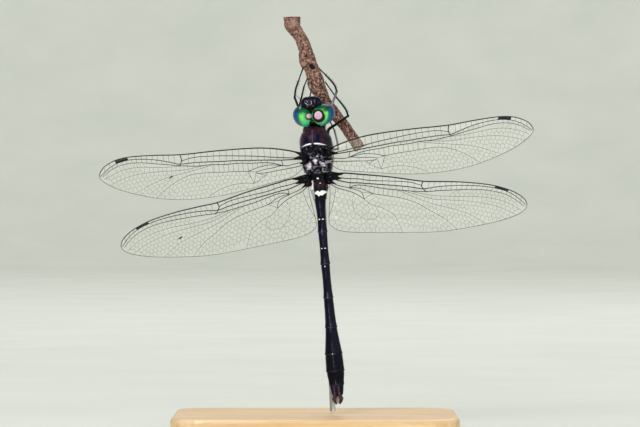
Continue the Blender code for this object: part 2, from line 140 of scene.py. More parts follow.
# Cream dots and spots of chalky wax: (x, z, half across, half along, strength).
CREAM_DOTS = (
    (0.38, -19.48, 0.21, 0.1, 1.0), (-0.38, -19.48, 0.21, 0.1, 1.0), (0.36, -25.58, 0.18, 0.08, 1.0),
    (-0.36, -25.58, 0.18, 0.08, 1.0), (0.0, -29.4, 0.13, 0.12, 1.0), (0.18, -10.88, 0.22, 0.13, 1.0),
    (0.6, -11.9, 0.12, 0.09, 1.0), (0.0, -47.85, 0.07, 0.14, 1.0),
)
BLOOM_SPOTS = (
    (0.02, -7.1, 0.52, 0.26, 1.0), (0.05, -7.45, 0.26, 0.42, 1.0), (-1.55, -8.1, 0.62, 0.68, 0.85),
    (-1.2, -7.75, 0.34, 0.3, 0.5), (-1.75, -7.3, 0.5, 0.16, 0.35), (-2.45, -8.15, 0.24, 0.3, 0.6),
    (-1.6, -8.75, 0.5, 0.2, 0.55), (-0.95, -6.4, 0.2, 0.18, 0.7), (0.62, -6.3, 0.24, 0.16, 0.6),
    (1.2, -7.6, 0.3, 0.26, 0.5), (1.6, -7.95, 0.42, 0.3, 0.75), (1.95, -8.3, 0.34, 0.2, 0.7),
    (2.75, -7.45, 0.48, 0.36, 0.75), (2.3, -7.8, 0.3, 0.2, 0.45), (2.45, -8.75, 0.1, 0.4, 0.4),
    (-1.0, -8.9, 0.1, 0.5, 0.45), (-2.2, -9.3, 0.35, 0.1, 0.4), (1.55, -9.2, 0.1, 0.5, 0.5),
    (2.1, -9.75, 0.5, 0.1, 0.6), (0.3, -6.65, 0.12, 0.1, 0.4), (-2.3, -5.7, 0.12, 0.3, 0.3),
)
# Lengths of the spine with a painted highlight: (z behind, z in front, strength).
GLINT_LENGTHS = (
    (-17.2, -15.7, 0.6), (-18.9, -17.4, 0.25), (-22.9, -21.2, 0.85), (-25.2, -23.5, 0.3),
    (-29.0, -27.6, 0.6), (-31.8, -29.9, 0.25), (-36.3, -34.9, 0.8), (-41.9, -37.4, 0.4),
    (-43.0, -42.1, 0.8), (-47.7, -45.2, 0.35), (-50.7, -48.3, 0.45), (-54.6, -53.3, 0.45),
)
HAIR_COUNT = 5200
HAIR_COLLAR = -0.75
# The skin's unwrap is this long in millimetres; a tuft's patch on it takes this share of its width.
UNWRAP_LENGTH = 58.0
PATCH_SIZE = 0.003

# Head: the skull behind the face, in rows as for the trunk.
SKULL_ROWS = (
    (4.9, 1.9, -1.6, 2.6, 2.5),
    (4.2, 2.2, -1.85, 3.1, 2.5),
    (3.6, 2.4, -1.85, 3.3, 2.5),
    (2.4, 2.5, -1.5, 3.3, 2.5),
    (1.2, 2.5, -1.4, 2.9, 2.5),
    (0.6, 1.9, -1.3, 2.3, 2.5),
    (0.3, 1.1, -0.8, 1.7, 2.5),
)
# Swellings of the face and skull: (x, y, z, radii), mirrored where x isn't zero.
FACE_SWELLINGS = (
    (0.88, -0.95, 4.95, 1.4, 1.18, 1.44),    # the two lobes of the forehead
    (0.15, -0.85, 5.1, 1.3, 1.2, 1.34),      # the swelling between them
    (0.0, -0.45, 5.1, 1.95, 1.25, 1.32),     # forehead below them
    (0.0, 0.2, 4.9, 2.2, 1.2, 1.25),
    (0.0, 1.3, 5.0, 2.1, 0.75, 1.15),        # upper lip plate
    (0.0, 2.1, 4.95, 1.6, 0.5, 1.05),        # lower lip plate
    (0.0, 2.95, 4.75, 1.75, 0.7, 0.95),      # upper lip
    (1.95, 2.3, 4.0, 0.65, 1.0, 1.2),        # jaw bases
    (0.8, 3.85, 3.75, 0.95, 0.52, 1.45),     # the two leaves of the lower lip
    (0.0, 3.7, 2.7, 1.15, 0.6, 1.0),         # the plate under them
    (0.0, 3.1, 3.2, 1.7, 0.7, 1.6),
    (1.5, 2.9, 3.1, 0.7, 0.8, 1.3),          # cheeks behind the jaws
    (0.26, -1.9, 4.1, 0.4, 0.55, 0.45),      # the small hump between the eyes
    (0.0, -1.25, 0.95, 0.8, 0.75, 0.6),      # the black triangle behind the eyes
)
# Painted highlights on the forehead, short pale silvery streaks: x and z from, x and z to, strength.
FOREHEAD_HIGHLIGHTS = ((-1.12, 5.25, -0.45, 4.5, 0.8), (0.26, 5.35, 0.3, 4.62, 0.9),
                      (-0.62, 5.45, -0.4, 5.15, 0.4), (0.9, 5.2, 1.15, 4.9, 0.35))
# Pupils painted on the eyes: dark pseudopupils fixed in place, each with a painted flash reflection as its
# glint: (x, z, radius, radius of the glint in it).
RIGHT_PUPIL = (1.65, 2.24, 1.22, 0.84)
LEFT_PUPIL = (0.4, 2.28, 0.58, 0.5)
# The right eye and the small eyes: places, radii, and turns in degrees.
EYE_CENTRE = (2.16, -0.1, 2.42)
EYE_RADII = (2.08, 2.9, 2.27)
EYE_TILT = -28.0
EYE_SPLAY = 0.12
OCELLI = ((0.0, -2.28, 4.62, 0.17), (0.62, -2.12, 4.3, 0.14), (-0.62, -2.12, 4.3, 0.14))
# Feelers: (x, y, z, radius).
ANTENNA_ROWS = ((1.15, -1.75, 4.85, 0.24), (1.35, -2.2, 5.15, 0.2), (1.6, -2.4, 5.6, 0.1),
                (2.2, -2.6, 6.3, 0.055), (2.9, -2.75, 7.1, 0.03))
# Melted skins are made of cells this wide.
MELT_VOXEL = 0.06

# Wings: edges and veins as (outward, rearward) points from where the front vein meets the body.
FORE_FRONT = ((-0.9, 0.6), (0.0, 0.0), (3.9, -1.15), (8.4, -1.9), (16.8, -2.3), (24.6, -2.4),
              (30.2, -2.9), (35.6, -3.15), (38.6, -2.75), (40.9, -1.7), (41.9, -0.65), (42.2, 0.1))
FORE_REAR = ((-0.9, 3.0), (0.2, 4.2), (2.0, 5.0), (5.5, 5.6), (11.0, 6.45), (15.3, 7.0),
             (20.7, 7.25), (25.6, 7.0), (31.0, 6.0), (36.2, 4.3), (39.6, 2.7), (41.5, 1.3), (42.2, 0.5))
HIND_FRONT = ((-1.9, 0.9), (0.0, 0.0), (4.2, -0.45), (10.8, -0.95), (17.3, -1.15), (21.2, -1.75),
              (26.2, -2.4), (31.5, -2.7), (35.2, -2.35), (37.5, -1.7), (39.0, -0.8), (39.6, 0.1))
HIND_REAR = ((-1.9, 2.7), (-1.45, 4.8), (-1.1, 7.4), (-0.9, 10.2), (0.2, 11.4), (1.8, 11.9), (4.5, 11.8),
             (9.8, 11.0), (15.2, 10.1), (22.4, 8.7), (28.4, 6.8), (34.5, 4.4), (37.8, 2.6),
             (39.2, 1.4), (39.6, 0.6))
FORE_VEINS = {
    "subcosta": ((0.3, 1.15), (3.6, 0.67), (6.4, 0.2), (9.3, -0.3), (13.0, -0.8), (17.2, -1.27),
                 (21.0, -1.5), (22.8, -1.4), (24.7, -1.0)),
    "radius": ((-0.4, 1.45), (3.5, 1.2), (6.5, 0.85), (10.0, 0.5), (13.0, 0.2), (16.3, 0.0),
               (19.4, -0.25), (22.2, -0.4), (25.0, -0.45), (26.8, -1.0), (29.5, -1.8), (32.0, -2.3),
               (34.7, -2.55), (36.5, -2.45), (38.6, -1.95), (40.3, -1.05), (41.5, -0.1), (42.0, 0.25)),
    "sector": ((3.3, 2.4), (5.6, 1.6), (7.9, 1.25), (10.3, 1.1), (12.0, 0.85), (16.0, 0.7), (18.3, 0.45),
               (21.3, 0.4), (25.2, -0.15), (27.9, -0.7), (30.6, -1.2), (33.3, -1.7), (35.8, -1.8),
               (38.0, -1.5), (40.0, -0.65), (41.6, 0.4)),
    "second": ((24.6, 0.0), (27.5, -0.1), (30.5, -0.4), (33.5, -0.75), (36.5, -0.65), (39.2, 0.1),
               (41.2, 1.0)),
    "third": ((19.5, 0.45), (21.5, 0.62), (23.5, 0.85), (26.0, 0.85), (29.0, 0.65), (32.0, 0.6),
              (35.0, 0.8), (38.0, 1.5), (40.2, 2.3)),
    "fourth": ((18.3, 0.5), (20.5, 0.95), (22.5, 1.25), (25.0, 1.65), (28.0, 2.1), (31.0, 2.95),
               (33.5, 4.0), (35.3, 4.65)),
    "media": ((3.3, 2.4), (5.5, 2.0), (6.5, 1.9), (8.8, 2.2), (10.9, 2.7), (13.4, 2.45), (16.0, 2.3),
              (19.2, 2.05), (22.2, 2.0), (24.5, 2.5), (27.0, 3.6), (29.3, 5.1), (30.6, 6.1)),
    "cubitus": ((-0.6, 2.15), (2.5, 2.5), (3.6, 2.35), (5.5, 2.6), (7.8, 2.8), (9.1, 3.05)),
    "anal": ((-0.6, 2.85), (2.0, 3.1), (5.0, 3.3), (6.7, 3.45), (9.0, 3.4)),
    "hind_sector": ((9.8, 5.4), (12.0, 5.1), (14.5, 5.2), (17.0, 5.8), (18.8, 6.6), (19.8, 7.2)),
}
# Short veins that join them: points, radii from start to end, and how pale.
FORE_LINKS = (
    (((24.7, -2.4), (24.5, -1.1), (25.1, 0.0)), (0.11, 0.08), 0.0),
    (((3.6, 1.2), (3.3, 2.4)), (0.06, 0.07), 0.0),
    (((10.9, 2.7), (9.8, 5.4)), (0.04, 0.036), 0.25),
    (((9.1, 3.05), (9.45, 4.1), (9.8, 5.4)), (0.04, 0.036), 0.25),
    (((10.9, 2.7), (9.1, 3.05)), (0.04, 0.036), 0.25),
    (((9.05, 3.2), (7.5, 4.1), (9.8, 5.4)), (0.04, 0.036), 0.25),
    (((7.5, 4.1), (6.7, 3.45)), (0.04, 0.036), 0.25),
)
HIND_VEINS = {
    "subcosta": ((-0.8, 1.0), (1.7, 0.87), (3.8, 0.58), (6.3, 0.5), (10.1, 0.0), (14.6, -0.5), (17.1, -0.25)),
    "radius": ((-1.3, 1.5), (2.0, 1.65), (4.0, 1.4), (6.2, 1.2), (9.6, 0.87), (13.1, 0.57), (15.3, 0.45),
               (17.6, 0.4), (20.1, -0.4), (23.0, -1.15), (26.3, -1.75), (29.1, -2.1), (32.3, -2.2),
               (34.8, -1.95), (36.8, -1.3), (38.3, -0.45), (39.3, 0.3)),
    "sector": ((2.3, 2.65), (3.5, 2.0), (4.7, 1.75), (6.9, 1.7), (9.6, 1.7), (13.2, 1.45), (16.0, 1.2),
               (18.4, 0.85), (21.2, 0.2), (24.7, -0.55), (28.0, -1.15), (31.5, -1.5), (35.0, -1.2),
               (37.3, -0.35), (39.0, 0.6)),
    "second": ((15.0, 1.3), (17.2, 1.45), (19.3, 1.45), (21.5, 1.3), (24.5, 0.9), (28.7, 0.2),
               (33.0, 0.05), (36.2, 0.6), (38.6, 1.5)),
    "third": ((13.2, 1.5), (15.0, 1.65), (16.7, 1.85), (18.5, 2.05), (20.5, 2.15), (24.1, 1.75),
              (28.5, 1.35), (32.0, 1.4), (35.2, 1.85), (37.6, 2.6)),
    "fourth": ((12.5, 1.6), (14.5, 2.05), (16.8, 2.6), (19.5, 3.1), (23.0, 3.4), (27.0, 3.85),
               (30.2, 4.8), (31.8, 5.5)),
    "media": ((2.3, 2.65), (4.7, 2.5), (7.4, 3.1), (9.5, 3.1), (11.8, 3.05), (14.7, 3.2), (17.3, 3.7),
              (19.8, 4.7), (22.0, 5.4), (24.5, 6.6), (26.0, 7.6)),
    "cubitus": ((-1.7, 2.2), (-0.2, 2.6), (2.2, 2.75), (4.9, 3.2), (5.8, 4.54)),
    "anal": ((-1.7, 2.6), (-0.2, 3.15), (1.7, 3.35), (3.6, 3.68), (5.8, 4.54)),
    "hind_sector": ((5.8, 4.54), (7.2, 5.35), (9.5, 5.7), (12.3, 6.6), (13.2, 7.6), (14.1, 8.85),
                    (14.9, 10.15)),
}
HIND_LINKS = (
    (((17.3, -1.15), (17.15, -0.2), (17.8, 0.6), (18.5, 1.0)), (0.11, 0.08), 0.0),
    (((2.3, 1.6), (2.4, 2.65)), (0.06, 0.07), 0.0),
    (((7.4, 3.1), (4.9, 3.2)), (0.04, 0.036), 0.25),
    (((7.4, 3.1), (6.4, 3.9), (5.8, 4.54)), (0.04, 0.036), 0.25),
    (((3.6, 3.68), (3.4, 5.4), (4.4, 7.4), (6.4, 8.6), (8.4, 8.3), (9.2, 7.0), (8.2, 5.5)), (0.022,), 0.9),
    (((-0.45, 3.3), (-0.45, 5.0), (-0.5, 6.6), (-0.7, 8.1), (-1.0, 9.45)), (0.04, 0.036), 0.25),
)
# Fields of small cells: (line in front, line behind, start, end, cell spacing, cell depth). A line is a
# vein, or two that take over from each other at a place.
FORE_FIELDS = (
    (("sector", "", 41.0), "second", 25.4, 41.3, 0.95, 0.85),
    (("sector", "second", 24.9), "third", 20.3, 41.0, 0.95, 0.82),
    ("third", ("fourth", "edge", 35.3), 19.8, 40.0, 0.9, 0.8),
    ("fourth", ("media", "edge", 30.6), 18.6, 35.2, 0.9, 0.8),
    (("sector", "fourth", 18.3), "media", 17.2, 22.0, 1.0, 1.0),
    ("media", ("hind_sector", "edge", 19.8), 10.6, 30.4, 0.95, 0.82),
    (("anal", "hind_sector", 9.4), "edge", -0.3, 19.5, 1.05, 0.9),
    ("cubitus", "anal", 0.2, 8.6, 1.8, 2.0),
    ("media", "cubitus", 3.6, 9.0, 1.7, 2.0),
)
HIND_FIELDS = (
    ("sector", "second", 16.4, 38.8, 0.95, 0.85),
    (("sector", "second", 15.2), "third", 14.0, 38.2, 0.95, 0.82),
    ("third", ("fourth", "edge", 31.8), 13.8, 37.4, 0.9, 0.8),
    ("fourth", ("media", "edge", 26.0), 12.9, 31.6, 0.9, 0.82),
    ("media", ("hind_sector", "edge", 14.9), 7.4, 25.8, 0.95, 0.85),
    (("anal", "hind_sector", 5.8), "edge", -0.9, 14.8, 1.1, 0.98),
    ("cubitus", "anal", -0.8, 4.6, 1.8, 2.0),
)
FORE_WING = (FORE_FRONT, FORE_REAR, FORE_VEINS, FORE_LINKS, FORE_FIELDS)
HIND_WING = (HIND_FRONT, HIND_REAR, HIND_VEINS, HIND_LINKS, HIND_FIELDS)
# Cross veins: (nodus, first of them, first from radius to sector, from sector to media: start, end, step).
FORE_RUNGS = (24.7, 3.0, 5.2, (4.6, 18.2, 1.02))
HIND_RUNGS = (17.3, 2.2, 4.2, (3.6, 12.6, 0.98))
VEIN_RADII = {"subcosta": (0.1, 0.08, 0.07), "radius": (0.12, 0.1, 0.08, 0.06),
              "sector": (0.08, 0.075, 0.05), "media": (0.07, 0.05, 0.03), "cubitus": (0.085, 0.06),
              "anal": (0.085, 0.06), "hind_sector": (0.042, 0.034, 0.028),
              **dict.fromkeys(("second", "third", "fourth"), (0.036, 0.034, 0.028))}
BLACK_VEINS = ("subcosta", "radius", "sector", "cubitus", "anal")
MEMBRANE_THICKNESS = 0.02
# (name, side, root, sweep, droop, start and end of the dark cell, a short dark bar: points and radii)
WINGS = (
    ("forewing_left", -1, (-3.85, -2.35, -5.1), 1.6, 5.0, (35.65, 38.35),
     (((26.7, 1.82), (27.1, 2.08), (27.55, 2.35)), (0.1, 0.13, 0.05))),
    ("forewing_right", 1, (3.45, -2.55, -4.7), -0.3, -2.0, (34.95, 37.65), None),
    ("hindwing_left", -1, (-4.8, -1.2, -10.4), 16.1, 5.0, (32.2, 35.1),
     (((26.8, 2.9), (27.2, 2.98), (28.0, 3.05)), (0.12, 0.19, 0.05, 0.03))),
    ("hindwing_right", 1, (4.75, -1.4, -10.2), 14.4, -2.0, (32.2, 35.1), None),
)
# Hinge plates at a wing's root: rows of (outward, rearward, up, radius).
FORE_WEDGES = (
    ((-2.0, 0.9, -0.75, 0.3), (-0.9, 0.55, 0.05, 0.44), (-0.2, 0.2, 0.05, 0.28), (0.6, -0.12, 0.0, 0.12)),
    ((-2.1, 1.4, -0.75, 0.34), (-0.9, 1.15, 0.05, 0.56), (-0.2, 1.15, 0.05, 0.4), (1.1, 1.1, 0.05, 0.08)),
    ((-1.9, 2.2, -0.75, 0.3), (-1.0, 2.35, 0.0, 0.34), (-0.6, 2.4, 0.0, 0.22), (-0.1, 2.5, 0.0, 0.07)),
)
HIND_WEDGES = (
    ((-3.2, 0.8, -0.7, 0.34), (-2.1, 0.6, 0.15, 0.6), (-1.0, 0.38, 0.1, 0.46), (0.6, 0.05, 0.0, 0.13)),
    ((-3.3, 1.5, -0.7, 0.4), (-2.1, 1.3, 0.1, 0.68), (-1.0, 1.1, 0.05, 0.52), (0.4, 1.1, 0.05, 0.1)),
    ((-3.1, 2.3, -0.7, 0.34), (-2.1, 2.25, 0.0, 0.52), (-1.5, 2.2, 0.0, 0.38), (-0.5, 2.45, 0.0, 0.08)),
)

# Legs: (name, hip on the trunk, hip-side bend, knee, points of shin and foot).
LEGS = (
    ("fore_left", (-1.0, 3.8, -0.7), (-1.5, 4.9, -0.2), (-3.5, 5.6, 6.7),
     ((-3.1, 5.6, 8.5), (-2.35, 5.7, 10.2), (-1.2, 5.75, 12.7))),
    ("fore_right", (1.0, 3.8, -0.7), (2.2, 4.9, 0.1), (5.5, 5.3, 7.2),
     ((5.1, 5.4, 8.6), (3.35, 5.65, 11.0), (2.2, 5.75, 12.35))),
    ("mid_left", (-0.9, 5.4, -2.6), (-0.95, 6.4, -1.9), (-3.2, 6.3, 3.5),
     ((-2.4, 6.0, 5.6), (-1.3, 5.75, 8.9), (-0.5, 5.75, 10.4))),
    ("mid_right", (1.3, 5.4, -2.6), (3.2, 5.9, -0.6), (7.45, 4.8, 1.8),
     ((7.0, 4.95, 3.3), (5.05, 5.7, 6.3), (3.15, 6.2, 9.55))),
    ("hind_left", (-1.2, 5.9, -4.8), (-1.0, 7.2, -4.7), (-2.3, 12.0, -2.5),
     ((-2.2, 11.2, -0.5), (-0.75, 10.1, 5.2), (0.1, 9.75, 7.9))),
    ("hind_right", (1.2, 5.9, -4.8), (2.7, 7.2, -4.9), (4.75, 12.6, -4.85),
     ((4.75, 11.6, -3.8), (4.3, 9.2, -0.9), (3.55, 7.3, 1.0))),
)

# Joints of a foot as shares of its length, and a claw: (ahead, sideways, down).
FOOT_JOINTS = (0.0, 0.22, 0.5, 0.93)
CLAW = ((0.0, 0.0, 0.0), (0.2, 0.12, -0.06), (0.42, 0.22, 0.02), (0.5, 0.26, 0.17))
# Limbs with a painted silvery highlight along their length: how strong on the thigh and on the shin.
SILVER_LIMBS = {"fore_right": (0.6, 0.0), "hind_right": (0.0, 0.9)}

# The right clasper, its spur, and the plate between the claspers: (x, y, z, radius).
CLASPER_ROWS = ((0.52, 0.3, -56.3, 0.42), (0.62, 0.28, -56.85, 0.4), (0.76, 0.25, -57.3, 0.4),
                (0.6, 0.28, -57.9, 0.34), (0.3, 0.38, -58.5, 0.12))
SPUR_ROWS = ((0.8, 0.25, -57.1, 0.2), (1.1, 0.25, -57.22, 0.12), (1.24, 0.25, -57.46, 0.02))
TAIL_PLATE_ROWS = ((0.0, 0.95, -56.3, 0.42), (0.0, 1.0, -56.85, 0.38), (0.0, 1.05, -57.5, 0.34),
                   (0.0, 0.95, -58.35, 0.16))

# Twig, in world millimetres: (x, z, radius).
TWIG_DEPTH = 2.5
TWIG_ROWS = (
    (-4.9, 88.0, 1.9), (-4.85, 86.2, 1.77), (-4.45, 85.5, 1.62), (-3.9, 84.8, 1.46), (-3.05, 83.45, 1.39),
    (-2.45, 82.1, 1.45), (-1.95, 80.75, 1.56), (-1.9, 80.05, 1.74), (-1.75, 79.4, 1.82), (-1.6, 78.7, 1.84),
    (-1.35, 78.05, 1.74), (-0.9, 77.35, 1.6), (-0.65, 76.7, 1.62), (-0.1, 75.35, 1.7), (0.15, 74.65, 1.78),
    (0.2, 74.0, 1.92), (0.4, 73.3, 1.86), (0.75, 72.65, 1.74), (1.1, 71.95, 1.6), (1.7, 70.6, 1.45),
    (3.0, 68.7, 1.4), (4.75, 66.7, 1.3), (6.45, 64.6, 1.25), (8.4, 61.7, 1.3), (9.5, 60.0, 1.3),
)
# Dark marks round its swellings, the second a painted shadow under the lower swelling: (x, z, half across,
# half along, slant).
KNOT_DARK_MARKS = ((-2.3, 77.35, 0.7, 0.2, 0.25), (0.1, 71.75, 0.75, 0.22, -0.4), (-1.9, 79.7, 0.5, 0.25, 0.0))
# Pale patches of bark: (x, z, half across, half along, strength).
PALE_BARK = ((-0.6, 78.3, 0.7, 0.42, 1.0), (-2.6, 78.0, 0.7, 0.5, 0.8), (-1.1, 73.2, 0.8, 0.6, 1.0),
             (0.0, 72.5, 0.9, 0.4, 0.7), (1.85, 73.7, 0.4, 0.4, 0.9), (-4.7, 86.6, 1.4, 1.0, 0.8),
             (-2.9, 79.6, 0.6, 0.8, 0.4))

# Studio, in metres: what the lamps and the camera look at, and how wide the view is there. Lamps are
# (name, place, width, power in watts).
LAMP_TARGET = (0.0, -0.005, 0.055)
LAMPS = (("key", (-0.36, -0.83, 0.67), 0.44, 8.0), ("fill", (0.9, -0.7, 0.35), 0.8, 3.2),
         ("flash", (0.06, -1.23, 0.2), 0.12, 2.0), ("rim", (0.2, 0.6, 0.95), 0.8, 4.4))
CAMERA_TARGET = (0.001, -0.005, 0.0463)
CAMERA_DISTANCE = 0.7
VIEW_WIDTH = 0.1344


# ---------------------------------------------------------------- numbers and curves

def bump(distance, width):
    """A smooth bell, one at zero distance."""
    return np.exp(-(distance / width) ** 2)


def ramp(value, start, end):
    """A smooth step from zero at start to one at end."""
    share = np.clip((value - start) / (end - start), 0.0, 1.0)
    return share * share * (3 - 2 * share)


def within(value, low, high, soft):
    """One between low and high, fading over soft at both."""
    return ramp(value, low - soft, low + soft) * (1 - ramp(value, high - soft, high + soft))


def rows_at(rows, places):
    """Smooth cubic values at several places along rows whose first number is the place."""
    table = np.array(rows, float)
    table = table[np.argsort(table[:, 0], kind="stable")]
    knots = table[:, 0]
    places = np.clip(np.asarray(places, float), knots[0], knots[-1])
    index = np.clip(np.searchsorted(knots, places, side="right") - 1, 0, len(knots) - 2)
    before = np.maximum(index - 1, 0)
    after = np.minimum(index + 2, len(knots) - 1)
    span = (knots[index + 1] - knots[index])[:, None]
    t = ((places - knots[index]) / span[:, 0])[:, None]
    start, end = table[index, 1:], table[index + 1, 1:]
    slope_in = (end - table[before, 1:]) / (knots[index + 1] - knots[before])[:, None] * span
    slope_out = (table[after, 1:] - start) / (knots[after] - knots[index])[:, None] * span
    return ((2 * t**3 - 3 * t**2 + 1) * start + (t**3 - 2 * t**2 + t) * slope_in
            + (3 * t**2 - 2 * t**3) * end + (t**3 - t**2) * slope_out)


def smooth_route(points, step):
    """A smooth curve through the points, read at about equal steps."""
    points = np.array(points, float)
    lengths = np.concatenate(([0.0], np.cumsum(np.linalg.norm(np.diff(points, axis=0), axis=1))))
    rows = np.column_stack((lengths, points))
    count = max(2, int(math.ceil(lengths[-1] / step)) + 1)
    return rows_at(rows, np.linspace(0.0, lengths[-1], count))


def unit(vector):
    """A vector at length one."""
    return vector / np.linalg.norm(vector)


def headings(route):
    """Which way a route runs at each of its points."""
    ahead = np.gradient(np.asarray(route, float), axis=0)
    return ahead / np.linalg.norm(ahead, axis=1)[:, None]


def value_noise(points, size, seed):
    """Smooth noise from -1 to 1 at points, with features about size across."""
    cells = points / size
    base = np.floor(cells).astype(np.int64)
    part = cells - base
    part = part * part * (3 - 2 * part)
    total = np.zeros(len(points))
    for corner in range(8):
        step = np.array([(corner >> axis) & 1 for axis in range(3)])
        key = (base + step) * np.array([73856093, 19349663, 83492791]) + seed * 2654435761
        key = key[:, 0] ^ key[:, 1] ^ key[:, 2]
        key = (key ^ (key >> 13)) * 1274126177 & 0x7FFFFFFF
        weight = np.prod(np.where(step, part, 1 - part), axis=1)
        total += weight * ((key % 65521) / 32760.0 - 1.0)
    return total


# ---------------------------------------------------------------- finishes

def paint(sheet):
    """An sRGB hex colour as linear light."""
    parts = [int(sheet[k:k + 2], 16) / 255 for k in (1, 3, 5)]
    return (*[c / 12.92 if c <= 0.04045 else ((c + 0.055) / 1.055) ** 2.4 for c in parts], 1.0)


def node(tree, kind, settings=None, **links):
    """Adds a node. Settings are its own properties; links are its inputs, by name or _number."""
    made = tree.nodes.new(kind)
    for name, value in (settings or {}).items():
        setattr(made, name, value)
    for name, value in links.items():
        socket = made.inputs[int(name[1:]) if name[0] == "_" else name.replace("_", " ")]
        if isinstance(value, bpy.types.NodeSocket):
            tree.links.new(value, socket)
        else:
            socket.default_value = value
    return made


def grain(tree, size_mm, detail=3.0, stretch=None, **links):
    """Noise of real size over the model, drawn out along the axes where stretch is below one."""
    places = node(tree, "ShaderNodeTexCoord").outputs["Object"]
    if stretch:
        places = node(tree, "ShaderNodeMapping", None, Vector=places, Scale=stretch).outputs["Vector"]
    return node(tree, "ShaderNodeTexNoise", None, Vector=places, Scale=1 / (size_mm * MM), Detail=detail,
                **links).outputs["Fac"]


def speckle(tree, size_mm, low=0.0, high=1.0, detail=3.0):
    """Grain of real size with more contrast, from low to high."""
    return node(tree, "ShaderNodeMapRange", None, Value=grain(tree, size_mm, detail), From_Min=0.3,
                From_Max=0.7, To_Min=low, To_Max=high).outputs["Result"]


def layered(tree, colour, *layers):
    """Colour over colour. A layer is how much of it shows, by a marking's name or a socket, and its shade."""
    for share, shade in layers:
        if isinstance(share, str):
            share = node(tree, "ShaderNodeAttribute", {"attribute_name": share}).outputs["Fac"]
        under, over = (paint(c) if isinstance(c, str) else c for c in (colour, shade))
        colour = node(tree, "ShaderNodeMix", {"data_type": "RGBA"}, _0=share, _6=under, _7=over).outputs[2]
    return colour


def start(name, **sockets):
    """A new material, its tree and its shader, whose uniform numbers are set on its own sockets."""
    material = bpy.data.materials.new(name)
    material.use_nodes = True
    shader = material.node_tree.nodes["Principled BSDF"]
    for socket, value in sockets.items():
        shader.inputs[socket.replace("_", " ")].default_value = value
    return material, material.node_tree, shader


def surface(started, colour, rough=None, relief=None):
    """Joins a started material's colour, roughness and relief. Roughness is a socket or a speckle's size,
    low and high; relief is a height or a speckle's size, then depth in millimetres, strength, detail."""
    material, tree, shader = started
    tree.links.new(colour, shader.inputs["Base Color"])
    if rough is not None:
        rough = speckle(tree, *rough) if isinstance(rough, tuple) else rough
        tree.links.new(rough, shader.inputs["Roughness"])
    if relief is not None:
        height, depth_mm, strength, *detail = relief
        if isinstance(height, float):
            height = speckle(tree, height, 0.0, 1.0, *detail)
        bumps = node(tree, "ShaderNodeBump", None, Height=height, Distance=depth_mm * MM, Strength=strength)
        tree.links.new(bumps.outputs["Normal"], shader.inputs["Normal"])
    return material


def finish(name, shades, *layers, rough=None, relief=None, **sockets):
    """A material of two shades in a speckle (size in millimetres, shade, shade), with layers over them."""
    started = start(name, **sockets)
    size_mm, first, second = shades
    colour = layered(started[1], first, (speckle(started[1], size_mm), second), *layers)
    return surface(started, colour, rough, relief)


def make_body_cuticle():
    """Hard waxed cuticle: black with a blue sheen, plum on the chest, chalky where its waxy bloom lies, and
    painted blue-grey highlights along the spine and between the wings.
    """
    started = start("waxed_black_cuticle", Specular_IOR_Level=0.07, Coat_Weight=0.05, Coat_Roughness=0.14)
    tree = started[1]
    glinted, chalky = (node(tree, "ShaderNodeMath", {"operation": "MULTIPLY"}, _1=speckle(tree, *patches),
                            _0=node(tree, "ShaderNodeAttribute", {"attribute_name": name}).outputs["Fac"]
                            ).outputs[0] for name, patches in (("painted_glints", (0.25, 0.2, 1.0)),
                                                               ("bloom", (0.35, 0.35, 1.15))))
    plum = layered(tree, "#201017", (speckle(tree, 0.7), "#3c2130"))
    colour = layered(tree, "#020204", (speckle(tree, 0.5), "#07070d"), ("plum", plum), ("navy", "#060922"),
                     ("wine", "#260812"), (glinted, "#77748f"), (chalky, "#efe4f2"), ("cream", "#f3eff0"))
    dull = node(tree, "ShaderNodeMath", {"operation": "MULTIPLY_ADD"}, _0=chalky, _1=0.35,
                _2=speckle(tree, 0.3, 0.24, 0.4)).outputs[0]
    # Pits and wrinkles of real cuticle are about 0.02 mm; drawn 0.07 mm across so that they show.
    return surface(started, colour, dull, (0.07, 0.012, 0.5))


def make_head_cuticle():
    """Metallic blue-black cuticle of the forehead: a dark mirror that flashes violet."""
    started = start("metallic_blue_cuticle", Specular_IOR_Level=0.09, Coat_Weight=0.1, Coat_Roughness=0.06)
    tree, shader = started[1:]
    share = node(tree, "ShaderNodeAttribute", {"attribute_name": "violet"}).outputs["Fac"]
    metal = node(tree, "ShaderNodeMath", {"operation": "MULTIPLY"}, _0=share, _1=0.12).outputs[0]
    tree.links.new(metal, shader.inputs["Metallic"])
    violet = layered(tree, "#030310", (speckle(tree, 0.9), "#0b0d26"))
    # The pale streaks laid over the colour are painted highlights on the forehead.
    colour = layered(tree, "#07060a", (share, violet), ("cream", "#cfc9a4"), ("scale", "#dcdcf0"))
    return surface(started, colour, (0.3, 0.16, 0.3), (0.08, 0.012, 0.5))


def make_leg_cuticle():
    """Thin black cuticle of legs and feelers: satin with a grey sheen, and a painted silvery highlight on
    some limbs.
    """
    return finish("black_leg_cuticle", (0.4, "#030304", "#0c0b10"), ("silver", "#a7a3b4"),
                  rough=(0.25, 0.25, 0.42), relief=(0.08, 0.01, 0.5),
                  Specular_IOR_Level=0.12, Coat_Weight=0.04, Coat_Roughness=0.2)


def make_clasper_cuticle():
    """Cuticle of the claspers: black mottled with plum brown."""
    return finish("plum_clasper_cuticle", (0.45, "#0b060b", "#3a2833"), rough=(0.2, 0.25, 0.42),
                  relief=(0.08, 0.01, 0.5), Specular_IOR_Level=0.35, Coat_Weight=0.15)


def make_pale_cuticle():
    """Unhardened cuticle between the claspers: pinkish and dull."""
    return finish("pinkish_cuticle", (0.3, "#6e555c", "#c2afb2"), rough=(0.2, 0.35, 0.5), IOR=1.5)


